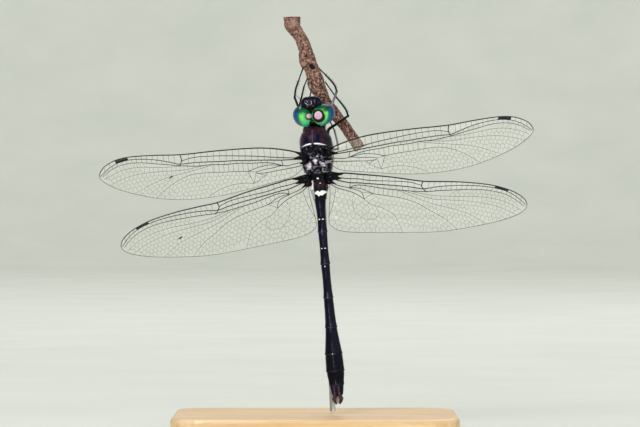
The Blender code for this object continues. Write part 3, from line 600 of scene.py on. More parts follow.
def make_eye_glass():
    """Faceted lens of the big eyes: glassy, with colour deep inside that the marks set; the dark pupil, its
    glint, shade and rim highlight are painted.
    """
    started = start("faceted_eye_lens", Coat_Weight=0.08, Coat_Roughness=0.12, Specular_IOR_Level=0.13)
    tree = started[1]
    # Real facets are about 0.03 mm across; drawn 0.075 mm so that they show.
    facets = node(tree, "ShaderNodeTexVoronoi", None, Scale=1 / (0.075 * MM),
                  Vector=node(tree, "ShaderNodeTexCoord").outputs["Object"]).outputs["Distance"]
    # The glint's colour: a painted reflection, with the facets showing in it.
    edges = node(tree, "ShaderNodeMath", {"operation": "MULTIPLY"}, _0=facets, _1=1.1).outputs[0]
    glow = layered(tree, "#e2cdda", (edges, "#a4749a"))
    colour = layered(tree, "#23913f", (speckle(tree, 0.9, detail=1.0), "#34a34b"), ("lime", "#72d468"),
                     ("mint", "#52dba0"), ("teal", "#0b6b68"), ("blue", "#013c80"), ("painted_eye_shade", "#052a24"),
                     ("painted_eye_highlight", "#9fb4c4"), ("pupil", "#050408"), ("ember", "#3c0708"), ("glint", glow))
    return surface(started, colour, (0.5, 0.22, 0.3), (facets, 0.006, 0.3))


def make_ocellus_glass():
    """Small simple eyes: smooth amber beads."""
    return finish("amber_bead_lens", (0.2, "#2a1512", "#6a4a3c"),
                  Coat_Weight=1.0, Coat_Roughness=0.05, Roughness=0.12)


def make_membrane():
    """Wing membrane: clear as cellophane, faintly smoked, amber close to the body."""
    return finish("clear_wing_membrane", (3.0, "#c9cdb4", "#dfe2d6"), ("amber", "#7a4a10"),
                  relief=(0.9, 0.02, 0.4), Alpha=0.08, Roughness=0.2, IOR=1.56,
                  Coat_Weight=0.2, Coat_Roughness=0.1)


def make_vein():
    """Veins: black-brown tubes of hard cuticle, blackest at the front edge."""
    started = start("black_wing_vein", Specular_IOR_Level=0.3)
    tree = started[1]
    thin = layered(tree, "#2e261b", (speckle(tree, 0.5), "#4b402f"))
    colour = layered(tree, "#050404", (speckle(tree, 0.5), "#0d0a09"), ("fine", thin))
    return surface(started, colour, (0.2, 0.3, 0.5))


def make_bark():
    """Young bark: rough brown-pink cork with pale ridges and dark cracks, and painted shade on its right side
    and in its hollows.
    """
    started = start("rough_twig_bark", IOR=1.45, Specular_IOR_Level=0.25)
    tree = started[1]
    colour = layered(tree, "#38221c", (speckle(tree, 1.0, -0.3, 1.2, 5.0), "#704c3e"), ("shade", "#38221b"),
                     (speckle(tree, 0.42, -0.9, 1.5, 4.0), "#a88577"), ("pale", "#bb9686"),
                     ("crack", "#281813"), ("scar", "#16100e"))
    return surface(started, colour, (0.5, 0.75, 0.95), (0.16, 0.08, 0.8, 6.0))


def make_cut_wood():
    """Sawn end of the twig: pale wood with growth rings and a pith."""
    started = start("sawn_twig_wood", IOR=1.45)
    colour = layered(started[1], "#d9b98c", ("ring", "#a5794d"))
    return surface(started, colour, (0.3, 0.6, 0.8), (0.1, 0.02, 0.5))


def make_hair():
    """Fine body hair: dark bristle with a silky light, plum on the dome, pale where the waxy bloom lies, and
    a painted blue-grey highlight where the skin has one.
    """
    return finish("fine_body_hair", (0.4, "#08060b", "#1f1923"), ("plum", "#3f2a30"), ("navy", "#12142c"),
                  ("painted_glints", "#5d5a72"), ("bloom", "#cfc3d2"), ("cream", "#e6e1e0"),
                  rough=(0.3, 0.4, 0.6), Specular_IOR_Level=0.15)


def make_maple():
    """Satin lacquered maple: pale wood with fine grain along the base."""
    started = start("satin_lacquered_maple", Coat_Weight=0.15, Coat_Roughness=0.35, IOR=1.5)
    tree = started[1]
    # Growth bands about 2.5 mm wide, and pores 0.3 mm wide that run 3 mm along the grain.
    band = grain(tree, 2.5, 4.0, (0.09, 1.0, 1.0), Distortion=0.6)
    pore = grain(tree, 0.3, 2.0, (0.09, 1.0, 1.0))
    bands = node(tree, "ShaderNodeMapRange", None, Value=band, From_Min=0.35, From_Max=0.65)
    pores = node(tree, "ShaderNodeMapRange", None, Value=pore, From_Min=0.55, From_Max=0.75, To_Max=0.35)
    colour = layered(tree, "#cfa878", (bands.outputs["Result"], "#dfc095"),
                     (pores.outputs["Result"], "#9c7448"))
    return surface(started, colour, (1.0, 0.34, 0.46), (pore, 0.01, 0.3))


def make_steel():
    """Drawn steel rod: grey metal with fine marks along its length."""
    started = start("drawn_steel", Metallic=1.0)
    tree = started[1]
    # Draw marks are 0.02 mm apart; drawn at 0.12 mm so that they show.
    drawn = grain(tree, 0.12, 3.0, (1.0, 1.0, 0.03))
    dull = node(tree, "ShaderNodeMapRange", None, Value=drawn, To_Min=0.22, To_Max=0.42).outputs["Result"]
    return surface(started, layered(tree, "#8f9194", (drawn, "#b9bbbd")), dull)


# ---------------------------------------------------------------- building shapes

def placed(name, data):
    """A new object in the scene."""
    made = bpy.data.objects.new(name, data)
    bpy.context.scene.collection.objects.link(made)
    return made


def smooth_mesh(name, points, faces, materials):
    """A mesh with smooth faces and its materials."""
    mesh = bpy.data.meshes.new(name)
    mesh.from_pydata(points, [], faces)
    mesh.polygons.foreach_set("use_smooth", np.ones(len(faces), bool))
    for material in materials:
        mesh.materials.append(material)
    return mesh


def carry(mesh, marks):
    """Gives a mesh its markings: a number for each point, from none to full."""
    for name, values in marks.items():
        layer = mesh.attributes.new(name, "FLOAT", "POINT")
        layer.data.foreach_set("value", values.astype(np.float32))
    mesh.update()


class Shape:
    """Points, faces and markings gathered for one piece."""

    def __init__(self):
        self.points = []
        self.faces = []
        self.marks = {}
        self.slots = []
        self.count = 0

    def add(self, points, faces, slot=0, **marks):
        """Adds points, faces in one material, and how strong each marking is there."""
        points = np.asarray(points, float)
        for name in dict.fromkeys((*self.marks, *marks)):
            held = self.marks.setdefault(name, [np.zeros(self.count)])
            held.append(np.broadcast_to(np.asarray(marks.get(name, 0.0), float), (len(points),)))
        self.points.append(points)
        self.faces.extend([tuple(int(k) + self.count for k in face) for face in faces])
        self.slots.extend([slot] * len(faces))
        self.count += len(points)

    def piece(self, name, place, materials, nodes):
        """The finished mesh in metres, riding on the model and standing for its CAD nodes."""
        turn = np.array(place)
        points = (np.vstack(self.points) @ turn[:3, :3].T + turn[:3, 3]) * MM
        mesh = smooth_mesh(name, points.tolist(), self.faces, materials)
        mesh.polygons.foreach_set("material_index", np.array(self.slots, np.int32))
        carry(mesh, {mark: np.concatenate(values) for mark, values in self.marks.items()})
        body = placed(name, mesh)
        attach(body, "root")
        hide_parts(*nodes)
        return body


def ring_faces(rows, sides, closed=True):
    """Quads between successive rings of points, with a flat face at each end if closed."""
    row, side = np.meshgrid(np.arange(rows - 1), np.arange(sides), indexing="ij")
    here = row * sides + side
    after = row * sides + (side + 1) % sides
    quads = np.stack((here, after, after + sides, here + sides), axis=-1).reshape(-1, 4).tolist()
    if closed:
        quads.append(list(range(sides))[::-1])
        quads.append(list(range((rows - 1) * sides, rows * sides)))
    return quads


def tube(route, radii, sides):
    """Points and faces of a round tube along a route, without twist, closed at both ends."""
    route = np.asarray(route, float)
    radii = np.broadcast_to(np.asarray(radii, float), (len(route),))
    heading = headings(route)
    reference = np.cross(heading[0], (0.0, 1.0, 0.0))
    if np.linalg.norm(reference) < 0.1:
        reference = np.cross(heading[0], (1.0, 0.0, 0.0))
    angles = np.arange(sides) * TAU / sides
    rings = []
    for point, ahead, radius in zip(route, heading, radii):
        reference = unit(reference - ahead * reference.dot(ahead))
        across = np.cross(ahead, reference)
        rings.append(point + radius * (np.cos(angles)[:, None] * reference
                                       + np.sin(angles)[:, None] * across))
    return np.vstack(rings), ring_faces(len(route), sides)


def limb(rows, sides):
    """A smooth tube through rows of (x, y, z, radius)."""
    route = smooth_route(rows, 0.05)
    return tube(route[:, :3], route[:, 3], sides)


def ball(centre, radii, columns=24, rows=16):
    """Points and faces of an ellipsoid."""
    lat = np.linspace(0.04, math.pi - 0.04, rows)
    lon = np.arange(columns) * TAU / columns
    grid = np.stack((np.outer(np.sin(lat), np.cos(lon)), np.outer(np.sin(lat), np.sin(lon)),
                     np.outer(np.cos(lat), np.ones(columns))), axis=-1).reshape(-1, 3)
    return grid * np.array(radii) + np.array(centre), ring_faces(rows, columns)


def oval_rings(rows, places, sides):
    """Rings of ovals at places along rows of (z, half width, back y, belly y, fullness of the oval)."""
    half, back, belly, full = rows_at(rows, places).T[:, :, None]
    angle = np.arange(sides) * TAU / sides
    across, deep = (np.sign(part) * np.abs(part) ** (2 / full) for part in (np.cos(angle), np.sin(angle)))
    return np.stack((half * across, (back + belly) / 2 + (belly - back) / 2 * deep,
                     np.broadcast_to(places[:, None], across.shape)), axis=-1)


def grid_normals(grid):
    """Outward normals of a closed grid of rings."""
    along = np.gradient(grid, axis=0)
    around = np.roll(grid, -1, axis=1) - np.roll(grid, 1, axis=1)
    normals = np.cross(around, along)
    normals /= np.maximum(np.linalg.norm(normals, axis=-1), 1e-9)[..., None]
    inside = grid.mean(axis=1, keepdims=True)
    flip = np.sign(np.sum(normals * (grid - inside), axis=-1).mean())
    return normals * flip


def melt(body, rounds):
    """Melts a piece's overlapping shapes into one even skin, smoothed a number of rounds."""
    skin = body.modifiers.new("melt", "REMESH")
    skin.mode = "VOXEL"
    skin.voxel_size = MELT_VOXEL * MM
    even = body.modifiers.new("even", "SMOOTH")
    even.factor = 0.5
    even.iterations = rounds
    depsgraph = bpy.context.evaluated_depsgraph_get()
    baked = bpy.data.meshes.new_from_object(body.evaluated_get(depsgraph))
    body.modifiers.clear()
    body.data = baked
    baked.name = body.name
    baked.polygons.foreach_set("use_smooth", np.ones(len(baked.polygons), bool))
    return baked


def face_outwards(body, join=False):
    """Turns a piece's faces outwards, and first joins points that lie on each other if asked."""
    shape = bmesh.new()
    shape.from_mesh(body.data)
    if join:
        bmesh.ops.remove_doubles(shape, verts=shape.verts, dist=1e-7)
    bmesh.ops.recalc_face_normals(shape, faces=shape.faces)
    shape.to_mesh(body.data)
    shape.free()
    body.data.update()


# ---------------------------------------------------------------- trunk

def lip_line(x):
    """Where the pale ridge across the chest runs."""
    return -3.6 - 0.075 * x**2


def fold_line(z):
    """How far down each side the fold of the abdomen's plates lies."""
    return np.interp(-z, (10, 13, 18.6, 32, 42, 48, 52, 56), (1.2, 1.2, 0.1, -0.2, 0.25, 0.75, 0.9, 0.9))


def side_seam(y, z, foot, top):
    """How far z lies above a seam that runs up a side of the chest, from z foot to z top."""
    return z - (foot + (top - foot) * (4.6 - y) / 6.2)


def ovals(x, z, rows, profile):
    """The strongest of several ovals: rows of (x, z, half across, half along, strength)."""
    total = np.zeros_like(x)
    for px, pz, half_x, half_z, most in rows:
        total = np.maximum(total, most * profile(((x - px) / half_x) ** 2 + ((z - pz) / half_z) ** 2))
    return total


def trunk_relief(x, y, z, back):
    """Height of the cuticle's relief in millimetres. back is one on the back, zero elsewhere."""
    chest = ramp(z, -10.6, -10.0)
    wide = np.abs(x)
    height = -0.14 * bump(z + 0.95, 0.16) * ramp(-z, -0.3, 0.3)
    # Ridge down the middle of the dome, with shallow hollows beside it.
    dome = within(z, -3.55, -1.6, 0.25) * back
    height = height + dome * (0.12 * bump(x, 0.09) - 0.02 * bump(wide - 0.42, 0.26))
    # Pale lip across the back of the dome, then the lower floor between the wings.
    behind = z - lip_line(x)
    lip = back * ramp(-wide, -3.0, -2.6)
    height = height + lip * 0.17 * bump(behind - 0.02, 0.13)
    floor = lip * ramp(-behind, 0.12, 0.5) * ramp(z, -10.2, -9.6)
    height = height - 0.42 * floor
    for px, pz, half_x, half_z, rise in FLOOR_PLATES:
        far = ((wide - px) / half_x) ** 2 + ((z - pz) / half_z) ** 2
        height = height + floor * rise * np.exp(-far**1.5)
    height = height - floor * 0.1 * (bump(z + 6.75, 0.09) + bump(wide - 1.62, 0.08) * bump(z + 5.5, 1.2))
    # Seams down the sides, from the hips up and back to the wings, and the waist behind them.
    side = (1 - back) * chest * ramp(wide, 1.2, 2.0)
    for foot, top in SIDE_SEAMS:
        seam = side_seam(y, z, foot, top)
        height = height - 0.11 * side * bump(seam, 0.09) + 0.05 * side * bump(seam - 0.22, 0.14)
    height = height - 0.12 * side * bump(y - 3.4 - 0.12 * (z + 5), 0.12)
    # Rings of the abdomen: each segment ends in a raised rim over the next one.
    for joint in SEGMENT_JOINTS:
        flare = 1.0 if joint < -15.0 else 0.5
        height = height + flare * (0.1 * bump(z - joint - 0.13, 0.17) + 0.06 * bump(z - joint - 0.45, 0.5))
        height = height - 0.09 * bump(z - joint + 0.1, 0.09)
    height = height - 0.12 * bump(z + 10.35, 0.2)
    for ridge in CROSS_RIDGES:
        height = height + 0.035 * bump(z - ridge, 0.07) - 0.025 * bump(z - ridge + 0.16, 0.1)
    spine = (1 - chest) * ramp(z, -56.6, -56.2)
    height = height + spine * 0.07 * bump(x, 0.09) * back
    # The back plates fold under along each side, over a sunken belly strip.
    keel = y - fold_line(z)
    height = height + spine * (0.06 * bump(keel, 0.09) - 0.05 * ramp(keel, 0.1, 0.3))
    # Ear-shaped knobs on the sides of the second segment.
    return height + 0.22 * bump(z + 12.9, 0.35) * bump(y - 0.5, 0.35) * ramp(wide, 1.2, 1.7)


def cream_marks(x, y, z, back):
    """The pale ridge, band, spots, flank patches and side sash."""
    wide = np.abs(x)
    # The ridge thins to a point at each outer end.
    thick = 0.15 * ramp(-wide, -3.0, -1.4) * ramp(wide, 0.12, 0.55)
    lip = back * within(z - lip_line(x), 0.02 - thick, 0.02 + thick, 0.04) * ramp(thick, 0.02, 0.06)
    # The band's edges are toothed.
    top, foot = (np.interp(x - 0.38, *edge) for edge in (BAND_TOP, BAND_FOOT))
    band = back * within(z, foot, top, 0.04) * ramp(top - foot, 0.04, 0.12)
    left = 0.9 * within(z, -13.0, -11.3, 0.3) + 0.42 * within(z, -15.2, -12.7, 0.3)
    right = 0.3 * within(z, -15.0, -11.8, 0.3)
    flank = within(y, -1.8, -0.85, 0.12) * (ramp(-x, 0.75, 0.9) * left + ramp(x, 1.7, 1.82) * right)
    stripe = within(y, 0.2, 0.75, 0.1) * within(z, -15.6, -11.8, 0.2) * ramp(wide, 0.8, 1.0)
    sash = (1 - back) * bump(side_seam(y, z, -3.9, -8.1), 0.42) ** 2
    sash = sash * within(y, -0.6, 3.2, 0.2) * ramp(wide, 1.2, 2.0) * ramp(z, -10.2, -9.8)
    dots = back * ovals(x, z, CREAM_DOTS, lambda far: ramp(-far, -1.3, -0.6))
    return np.clip(np.maximum.reduce((lip, band, flank, stripe * 0.8, sash * 0.75, dots)), 0, 1)


def trunk_marks(x, y, z, back):
    """Markings of the trunk, shared by its skin and its hair."""
    wide = np.abs(x)
    bloom = back * ovals(x, z, BLOOM_SPOTS, lambda far: ramp(-far, -1.7, -0.35))
    # Between the wings the small plates get painted violet-grey glints.
    places = np.stack((x, y, z), axis=-1).reshape(-1, 3)
    fleck = ramp(value_noise(places, 0.3, 41), 0.22, 0.55).reshape(np.shape(x))
    fleck = fleck * back * within(z, -9.9, -3.95, 0.2)
    fleck = fleck * (1 - 0.75 * bump(x - 0.1, 0.5) * within(z, -6.4, -4.6, 0.3))
    dome = ramp(z, -4.2, -3.4) * ramp(-z, -0.2, 0.4) * (1 - ramp(x, 2.5, 3.2)) * (1 - ramp(-x, 2.5, 3.1))
    plum = np.clip(dome + 0.45 * within(z, -13.3, -11.3, 0.3), 0, 1) * ramp(-y, -3.0, 0.5)
    navy = 1.5 * back * (bump(x + 1.35, 0.6) * within(z, -3.5, -2.2, 0.5)
                         + bump(x - 0.95, 0.8) * within(z, -3.5, -1.8, 0.5))
    navy = navy + 0.9 * ramp(x, 2.2, 3.0) * within(z, -3.7, -1.2, 0.5)
    sheen = 0.6 * ramp(-z, 15.0, 17.0) * (0.45 + 0.55 * ramp(z, -50.0, -40.0)) * ramp(-y, -0.6, 0.4)
    # Along the spine of each segment a broken blue-grey highlight is painted, most at its ends.
    painted_glints = np.zeros_like(x)
    for tail, front, most in GLINT_LENGTHS:
        painted_glints = np.maximum(painted_glints, most * within(z, tail, front, 0.35))
    along = np.column_stack((z.ravel() * 3.3, z.ravel() * 0, z.ravel() * 0))
    breaks = value_noise(along, 1.0, 43).reshape(z.shape)
    painted_glints = painted_glints * back * (bump(x, 0.07) + 0.16 * bump(x - 0.08, 0.2))
    painted_glints = painted_glints * (0.45 + 0.55 * ramp(breaks, -0.4, 0.3))
    # Painted glints on the rims of the later joints, and along the ridge of the dome.
    for joint in SEGMENT_JOINTS[2:]:
        painted_glints = np.maximum(painted_glints, 0.4 * back * bump(z - joint - 0.12, 0.1) * bump(x, 0.7))
    ridge = 0.6 * back * bump(x - 0.02, 0.1) * within(z, -3.4, -0.7, 0.3)
    # The last plate is wine red along its middle, with a pale blue-grey streak at each side of that.
    last = back * within(z, -57.0, -54.5, 0.25)
    streaks = 0.6 * last * bump(wide - 0.5, 0.17) * (0.6 + 0.4 * ramp(breaks, -0.3, 0.3))
    return {"cream": cream_marks(x, y, z, back), "bloom": bloom,
            "plum": np.maximum(plum, 0.15 * ramp(-z, 54.3, 54.8)),
            "navy": np.clip(np.maximum(navy, sheen), 0, 1), "wine": 0.85 * last * bump(x, 0.34),
            "painted_glints": np.clip(np.maximum.reduce((painted_glints, 0.95 * fleck, ridge, streaks)), 0, 1)}


def trunk_places():
    """Where the rings of the trunk lie along it: close together at every detail."""
    places = list(np.arange(TRUNK_FRONT, ABDOMEN_START, -0.065))
    z = ABDOMEN_START
    while z > TRUNK_TAIL:
        near = min(abs(z - detail) for detail in FINE_PLACES)
        places.append(z)
        z -= 0.05 if near < 0.45 else 0.13
    return np.array((*places, TRUNK_TAIL))


def trunk_grid():
    """The trunk's surface as a grid of rings, with the outward normals and how far each faces back."""
    grid = oval_rings(TRUNK_ROWS, trunk_places(), TRUNK_SIDES)
    normals = grid_normals(grid)
    facing = ramp(-normals[..., 1], -0.1, 0.35)
    return grid, normals, facing, trunk_marks(*np.moveaxis(grid, -1, 0), facing)


def make_trunk(cuticle):
    """Neck, thorax and abdomen as one skin."""
    grid, normals, facing, marks = trunk_grid()
    x, y, z = np.moveaxis(grid, -1, 0)
    flat = grid.reshape(-1, 3)
    crumple = (value_noise(flat, 0.55, 3) * 0.03 + value_noise(flat, 0.22, 4) * 0.015).reshape(z.shape)
    floor = within(z, -9.9, -4.1, 0.3) * facing
    lift = trunk_relief(x, y, z, facing) + crumple * (0.35 + 2.2 * floor)
    lift[:3] *= 0
    skin = grid + normals * lift[..., None]
    shape = Shape()
    shape.add(skin.reshape(-1, 3), ring_faces(len(grid), TRUNK_SIDES),
              **{name: values.ravel() for name, values in marks.items()})
    nodes = ["neck", "thorax"] + [f"abdomen_{k}" for k in range(1, 11)]
    shape.piece("trunk_skin", TRUNK, [cuticle], nodes)


def make_trunk_hair(hair):
    """Short fine hair on the front and sides of the chest and under it, lying backwards."""
    grid, normals, facing, marks = trunk_grid()
    dice = random.Random(11)
    places = grid[:, 0, 2]
    shape = Shape()
    patches = []
    while len(patches) < HAIR_COUNT:
        z = 0.05 - 10.6 * dice.random() ** 1.12
        row = int(np.argmin(np.abs(places - z)))
        side = dice.randrange(TRUNK_SIDES)
        root, out, face = grid[row, side], normals[row, side], facing[row, side]
        keep = 1.0 if z > -3.4 else 0.75 * (1 - face) + 0.12
        keep *= 0.35 if abs(root[0]) < 0.25 and face > 0.5 else 1.0
        if dice.random() > keep:
            continue
        # The collar's fringe stands longer and points forward under the head.
        collar = z > HAIR_COLLAR
        length = (0.18 + 0.22 * dice.random()) * (0.7 if face > 0.6 else 1.1) * (1.7 if collar else 1.0)
        lean = np.array((dice.gauss(0, 0.3), dice.gauss(0, 0.3),
                         (0.35 if collar else -0.55) + dice.gauss(0, 0.25)))
        tip = root + (out * 0.75 + lean * 0.6) * length
        middle = root + out * 0.42 * length + lean * 0.18 * length
        points, faces = tube((root - out * 0.06, middle, tip), (0.011, 0.008, 0.002), 3)
        shape.add(points, faces, **{name: values[row, side] for name, values in marks.items()})
        patches.append((side / TRUNK_SIDES, (TRUNK_FRONT - places[row]) / UNWRAP_LENGTH, len(points)))
    body = shape.piece("chest_hair", TRUNK, [hair], ["thorax"])
    bake_patches(body, patches)


def bake_patches(body, patches):
    """Gives each tuft a small patch of its own at its root's place on the skin's unwrap."""
    layer = body.data.uv_layers.new(name="OFBake")
    owner = np.concatenate([np.full(count, k) for k, (u, v, count) in enumerate(patches)])
    local = np.concatenate([np.arange(count) / max(count - 1, 1) for u, v, count in patches])
    corner = np.zeros(len(body.data.loops), np.int32)
    body.data.loops.foreach_get("vertex_index", corner)
    centre = np.array([(u, v) for u, v, count in patches])[owner[corner]]
    offset = np.stack((np.cos(TAU * local[corner] * 3), local[corner] * 2 - 1), axis=-1) * PATCH_SIZE / 2
    layer.data.foreach_set("uv", np.clip(centre * (1 - 2 * PATCH_SIZE) + PATCH_SIZE + offset, 0, 1).ravel())


# ---------------------------------------------------------------- head

def eye_frame():
    """The right eye as a stretched ball, leaning in over the crown and splayed out in front."""
    splay = Matrix.Identity(4)
    splay[0][2] = EYE_SPLAY
    return (Matrix.Translation(EYE_CENTRE) @ splay @ spin("Z", EYE_TILT)
            @ Matrix.Diagonal((*EYE_RADII, 1.0)))


def face_relief(local):
    """Height of the face's relief: a fine crumple, and the grooves between its plates."""
    x, y, z = local.T
    lift = value_noise(local, 0.4, 7) * 0.02 + value_noise(local, 0.16, 8) * 0.012
    lift = lift * (1 - 0.7 * ramp(z, 4.0, 4.6))
    # Grooves between the forehead's lobes, over the lip plates and down the lower lip.
    lift = lift - 0.05 * bump(x - 0.1, 0.14) * within(y, -2.4, -0.2, 0.3) * ramp(z, 4.3, 4.8)
    lift = lift - 0.05 * bump(x + 0.95, 0.12) * within(y, -2.4, -0.9, 0.3) * within(z, 4.4, 5.6, 0.2)
    lift = lift - 0.09 * bump(y - 0.62 - 0.04 * x**2, 0.07) * ramp(z, 4.4, 4.9)
    lift = lift - 0.07 * bump(y - 2.4, 0.06) * ramp(z, 4.4, 4.9)
    return lift - 0.1 * bump(x, 0.06) * ramp(y, 3.8, 4.1)


def make_head(cuticle):
    """Skull and face as one skin, melted together from plain swellings."""
    shape = Shape()
    places = np.linspace(SKULL_ROWS[0][0], SKULL_ROWS[-1][0], 16)
    sides = 40
    shape.add(oval_rings(SKULL_ROWS, places, sides).reshape(-1, 3), ring_faces(len(places), sides))
    for x, y, z, *radii in FACE_SWELLINGS:
        for side in ((1,) if x == 0 else (1, -1)):
            shape.add(*ball((side * x, y, z), radii))
    baked = melt(shape.piece("head_skin", HEAD, [cuticle], ["head", "mouthparts"]), 5)
    points, normals = (np.zeros(len(baked.vertices) * 3) for _ in range(2))
    baked.vertices.foreach_get("co", points)
    baked.vertices.foreach_get("normal", normals)
    points = points.reshape(-1, 3)
    back_turn = np.array(HEAD.inverted())
    local = points / MM @ back_turn[:3, :3].T + back_turn[:3, 3]
    points = points + normals.reshape(-1, 3) * (face_relief(local) * MM)[:, None]
    baked.vertices.foreach_set("co", points.ravel())
    x, y, z = local.T
    # Painted highlights: short pale streaks on the forehead where it faces back.
    scale = np.zeros_like(x)
    for ax, az, bx, bz, most in FOREHEAD_HIGHLIGHTS:
        dx, dz = bx - ax, bz - az
        along = np.clip(((x - ax) * dx + (z - az) * dz) / (dx**2 + dz**2), 0, 1)
        gap = np.hypot(x - ax - dx * along, z - az - dz * along)
        scale = np.maximum(scale, most * (1 - ramp(gap, 0.02, 0.09)) * (0.5 + 0.5 * np.sin(along * math.pi)))
    carry(baked, {"violet": ramp(z, 3.9, 4.6) * ramp(-y, -0.7, -0.2),
                  "cream": within(y, 0.75, 1.75, 0.12) * ramp(z, 4.6, 5.0) * ramp(-np.abs(x), -1.9, -1.6),
                  "scale": scale * ramp(-y, 1.0, 1.3)})


def eye_marks(x, y, z, faced, right):
    """Colour of an eye: a painted dark pupil with a painted glint, then green and teal to blue at the outer
    rim, with painted shade and a painted highlight. faced says outward, back and up which way the lens faces
    as the insect hangs."""
    outward, backward, upward = faced[:, 0], -faced[:, 1], faced[:, 2]
    pupil_x, pupil_z, pupil_size, glint_size = RIGHT_PUPIL if right else LEFT_PUPIL
    # The pupil is a painted dark pseudopupil, with a painted reflection as its glint and a dark red rim below
    # it.
    far = np.hypot(x - pupil_x, z - pupil_z) + (y > 0.3) * 9
    below = pupil_z - z
    size = pupil_size + 0.12 * np.clip(below, -0.5, 1.0)
    pupil = 1 - ramp(far, size, size + 0.26)
    glint = 1 - ramp(far, glint_size - 0.06, glint_size + 0.05)
    ring = np.hypot(outward + 0.2, upward + 0.1) + 0.25 * outward
    low = ramp(-upward, 0.35, 0.8)
    # Each eye has a painted shade patch high up: the right one's lies outward, the left one's is broad and
    # faint.
    if right:
        streak, high, calm = bump(ring - 0.87, 0.24), ramp(upward, 0.28, 0.62), 1.0
        patch = bump(outward - 0.42, 0.24) * ramp(upward, 0.12, 0.36)
        seam = (1 - ramp(x, 0.05, 0.16)) * ramp(-y, 0.6, 1.4) * ramp(upward, -1.0, -0.5)
        # A painted highlight runs along the outer rim.
        painted_eye_highlight = ramp(backward, 0.3, 0.16) * ramp(backward, -0.06, 0.08) * ramp(outward, 0.5, 0.8)
        painted_eye_highlight = 0.5 * painted_eye_highlight * (1 - ramp(upward, 0.4, 0.7))
    else:
        streak, high, calm = bump(ring - 0.68, 0.3), ramp(upward, -0.12, 0.36), 0.35
        patch = 0.85 * ramp(upward, 0.12, 0.5)
        seam = 0.0
        # A painted highlight spot high on the left eye.
        painted_eye_highlight = bump(np.hypot(x - 2.3, z - 4.2), 0.2)
    lime = (1 - high) * (0.22 + 0.78 * streak) * (1 - ramp(ring, 0.94, 1.08))
    # Painted shade: darker high up, low down where the lens turns away, and on the inner front under the
    # forehead.
    painted_eye_shade = np.maximum.reduce((0.92 * ramp(upward, 0.34, 0.74) * ramp(backward, -0.75, 0.1),
                              0.6 * ramp(backward, 0.2, 0.0) * low,
                              0.85 * ramp(-x, -1.7, -0.7) * ramp(z, 2.5, 3.1), 0.9 * patch))
    return {"pupil": pupil, "glint": glint, "painted_eye_shade": painted_eye_shade, "painted_eye_highlight": painted_eye_highlight,
            "ember": pupil * (1 - glint) * ramp(below, 0.58 * pupil_size, 0.8 * pupil_size),
            "teal": ramp(ring, 0.93, 1.08), "blue": ramp(ring, 1.08, 1.24) * (1 - 0.45 * low),
            "lime": lime * (1 - low * calm), "mint": np.maximum(lime * low, 0.7 * seam)}


def make_eyes(glass):
    """Two egg-shaped eyes that meet in a seam over the crown, each with a painted dark pupil and glint."""
    points, faces = ball((0, 0, 0), (1, 1, 1), 128, 96)
    turn = np.array(eye_frame())
    local = points @ turn[:3, :3].T + turn[:3, 3]
    normal = points / np.array(EYE_RADII) @ np.array(spin("Z", EYE_TILT))[:3, :3].T
    normal /= np.linalg.norm(normal, axis=1)[:, None]
    # The inner side is cut flat where the two eyes meet.
    local[:, 0] = np.maximum(local[:, 0], 0.015)
    for name, side in (("eye_left", -1), ("eye_right", 1)):
        mirror = np.array((side, 1, 1))
        faced = (normal * mirror) @ np.array(HEAD)[:3, :3].T * mirror
        shape = Shape()
        shape.add(local * mirror, faces, **eye_marks(*local.T, faced, side > 0))
        shape.piece(name + "_lens", HEAD, [glass], [name])


def make_ocelli(bead):
    """Three small simple eyes on the hump between the big ones."""
    shape = Shape()
    for x, y, z, radius in OCELLI:
        shape.add(*ball((x, y, z), (radius, radius, radius), 20, 14))
    shape.piece("ocelli", HEAD, [bead], ["head"])


def make_antennae(cuticle):
    """Two bristles, faintly ringed."""
    for name, side in (("antenna_left", -1), ("antenna_right", 1)):
        route = smooth_route([(side * x, y, z, radius) for x, y, z, radius in ANTENNA_ROWS], 0.06)
        rings = 1 + 0.12 * np.cos(np.arange(len(route)) * TAU / 9)
        shape = Shape()
        shape.add(*tube(route[:, :3], route[:, 3] * rings, 14))
        shape.piece(name + "_bristle", HEAD, [cuticle], [name])


# ---------------------------------------------------------------- legs and tail

def spines(shape, route, count, length, start, end, lean, radius):
    """Two rows of stiff spines under a limb, leaning to its foot."""
    heading = headings(route)
    for k in range(count):
        share = start + (end - start) * (k + 0.5) / count
        index = int(share * (len(route) - 1))
        ahead = heading[index]
        across = (0.0, 0.0, 1.0) if abs(ahead[2]) < 0.9 else (1.0, 0.0, 0.0)
        inward = np.cross(ahead, np.cross(across, ahead))
        sideways = np.cross(ahead, inward)
        for row in (-0.5, 0.5):
            out = unit(inward * lean + sideways * row)
            root = route[index] + out * 0.08
            tip = root + (out * 0.75 + ahead * 0.65) * length
            shape.add(*tube((root, (root + tip) / 2 + ahead * 0.02, tip), (radius, radius * 0.7, 0.005), 4))


def silver_light(points, route, thick, most):
    """A painted silvery highlight along the side of a limb that faces backwards, fading out at both ends."""
    sides = len(points) // len(route)
    facing = ramp((np.repeat(route[:, 1], sides) - points[:, 1]) / np.repeat(thick, sides), 0.2, 0.8)
    return most * facing * np.repeat(np.sin(np.linspace(0.15, 0.9, len(route)) * math.pi), sides)


def add_foot(shape, ankle, foot):
    """Three foot joints, each longer than the last, and two claws."""
    for first, last in zip(FOOT_JOINTS, FOOT_JOINTS[1:]):
        route = smooth_route((ankle + (foot - ankle) * first, ankle + (foot - ankle) * last), 0.08)
        share = np.linspace(0, 1, len(route))
        shape.add(*tube(route, 0.125 + 0.035 * share - 0.02 * bump(share, 0.1), 12))
    ahead = unit(foot - ankle)
    side = unit(np.cross(ahead, (0.0, 1.0, 0.0)))
    down = np.cross(side, ahead)
    down = -down if down[1] > 0 else down
    root = ankle + (foot - ankle) * 0.9
    for row in (-1, 1):
        claw = [root + ahead * far + side * row * out + down * low for far, out, low in CLAW]
        route = smooth_route(claw, 0.05)
        shape.add(*tube(route, np.linspace(0.07, 0.012, len(route)), 10))


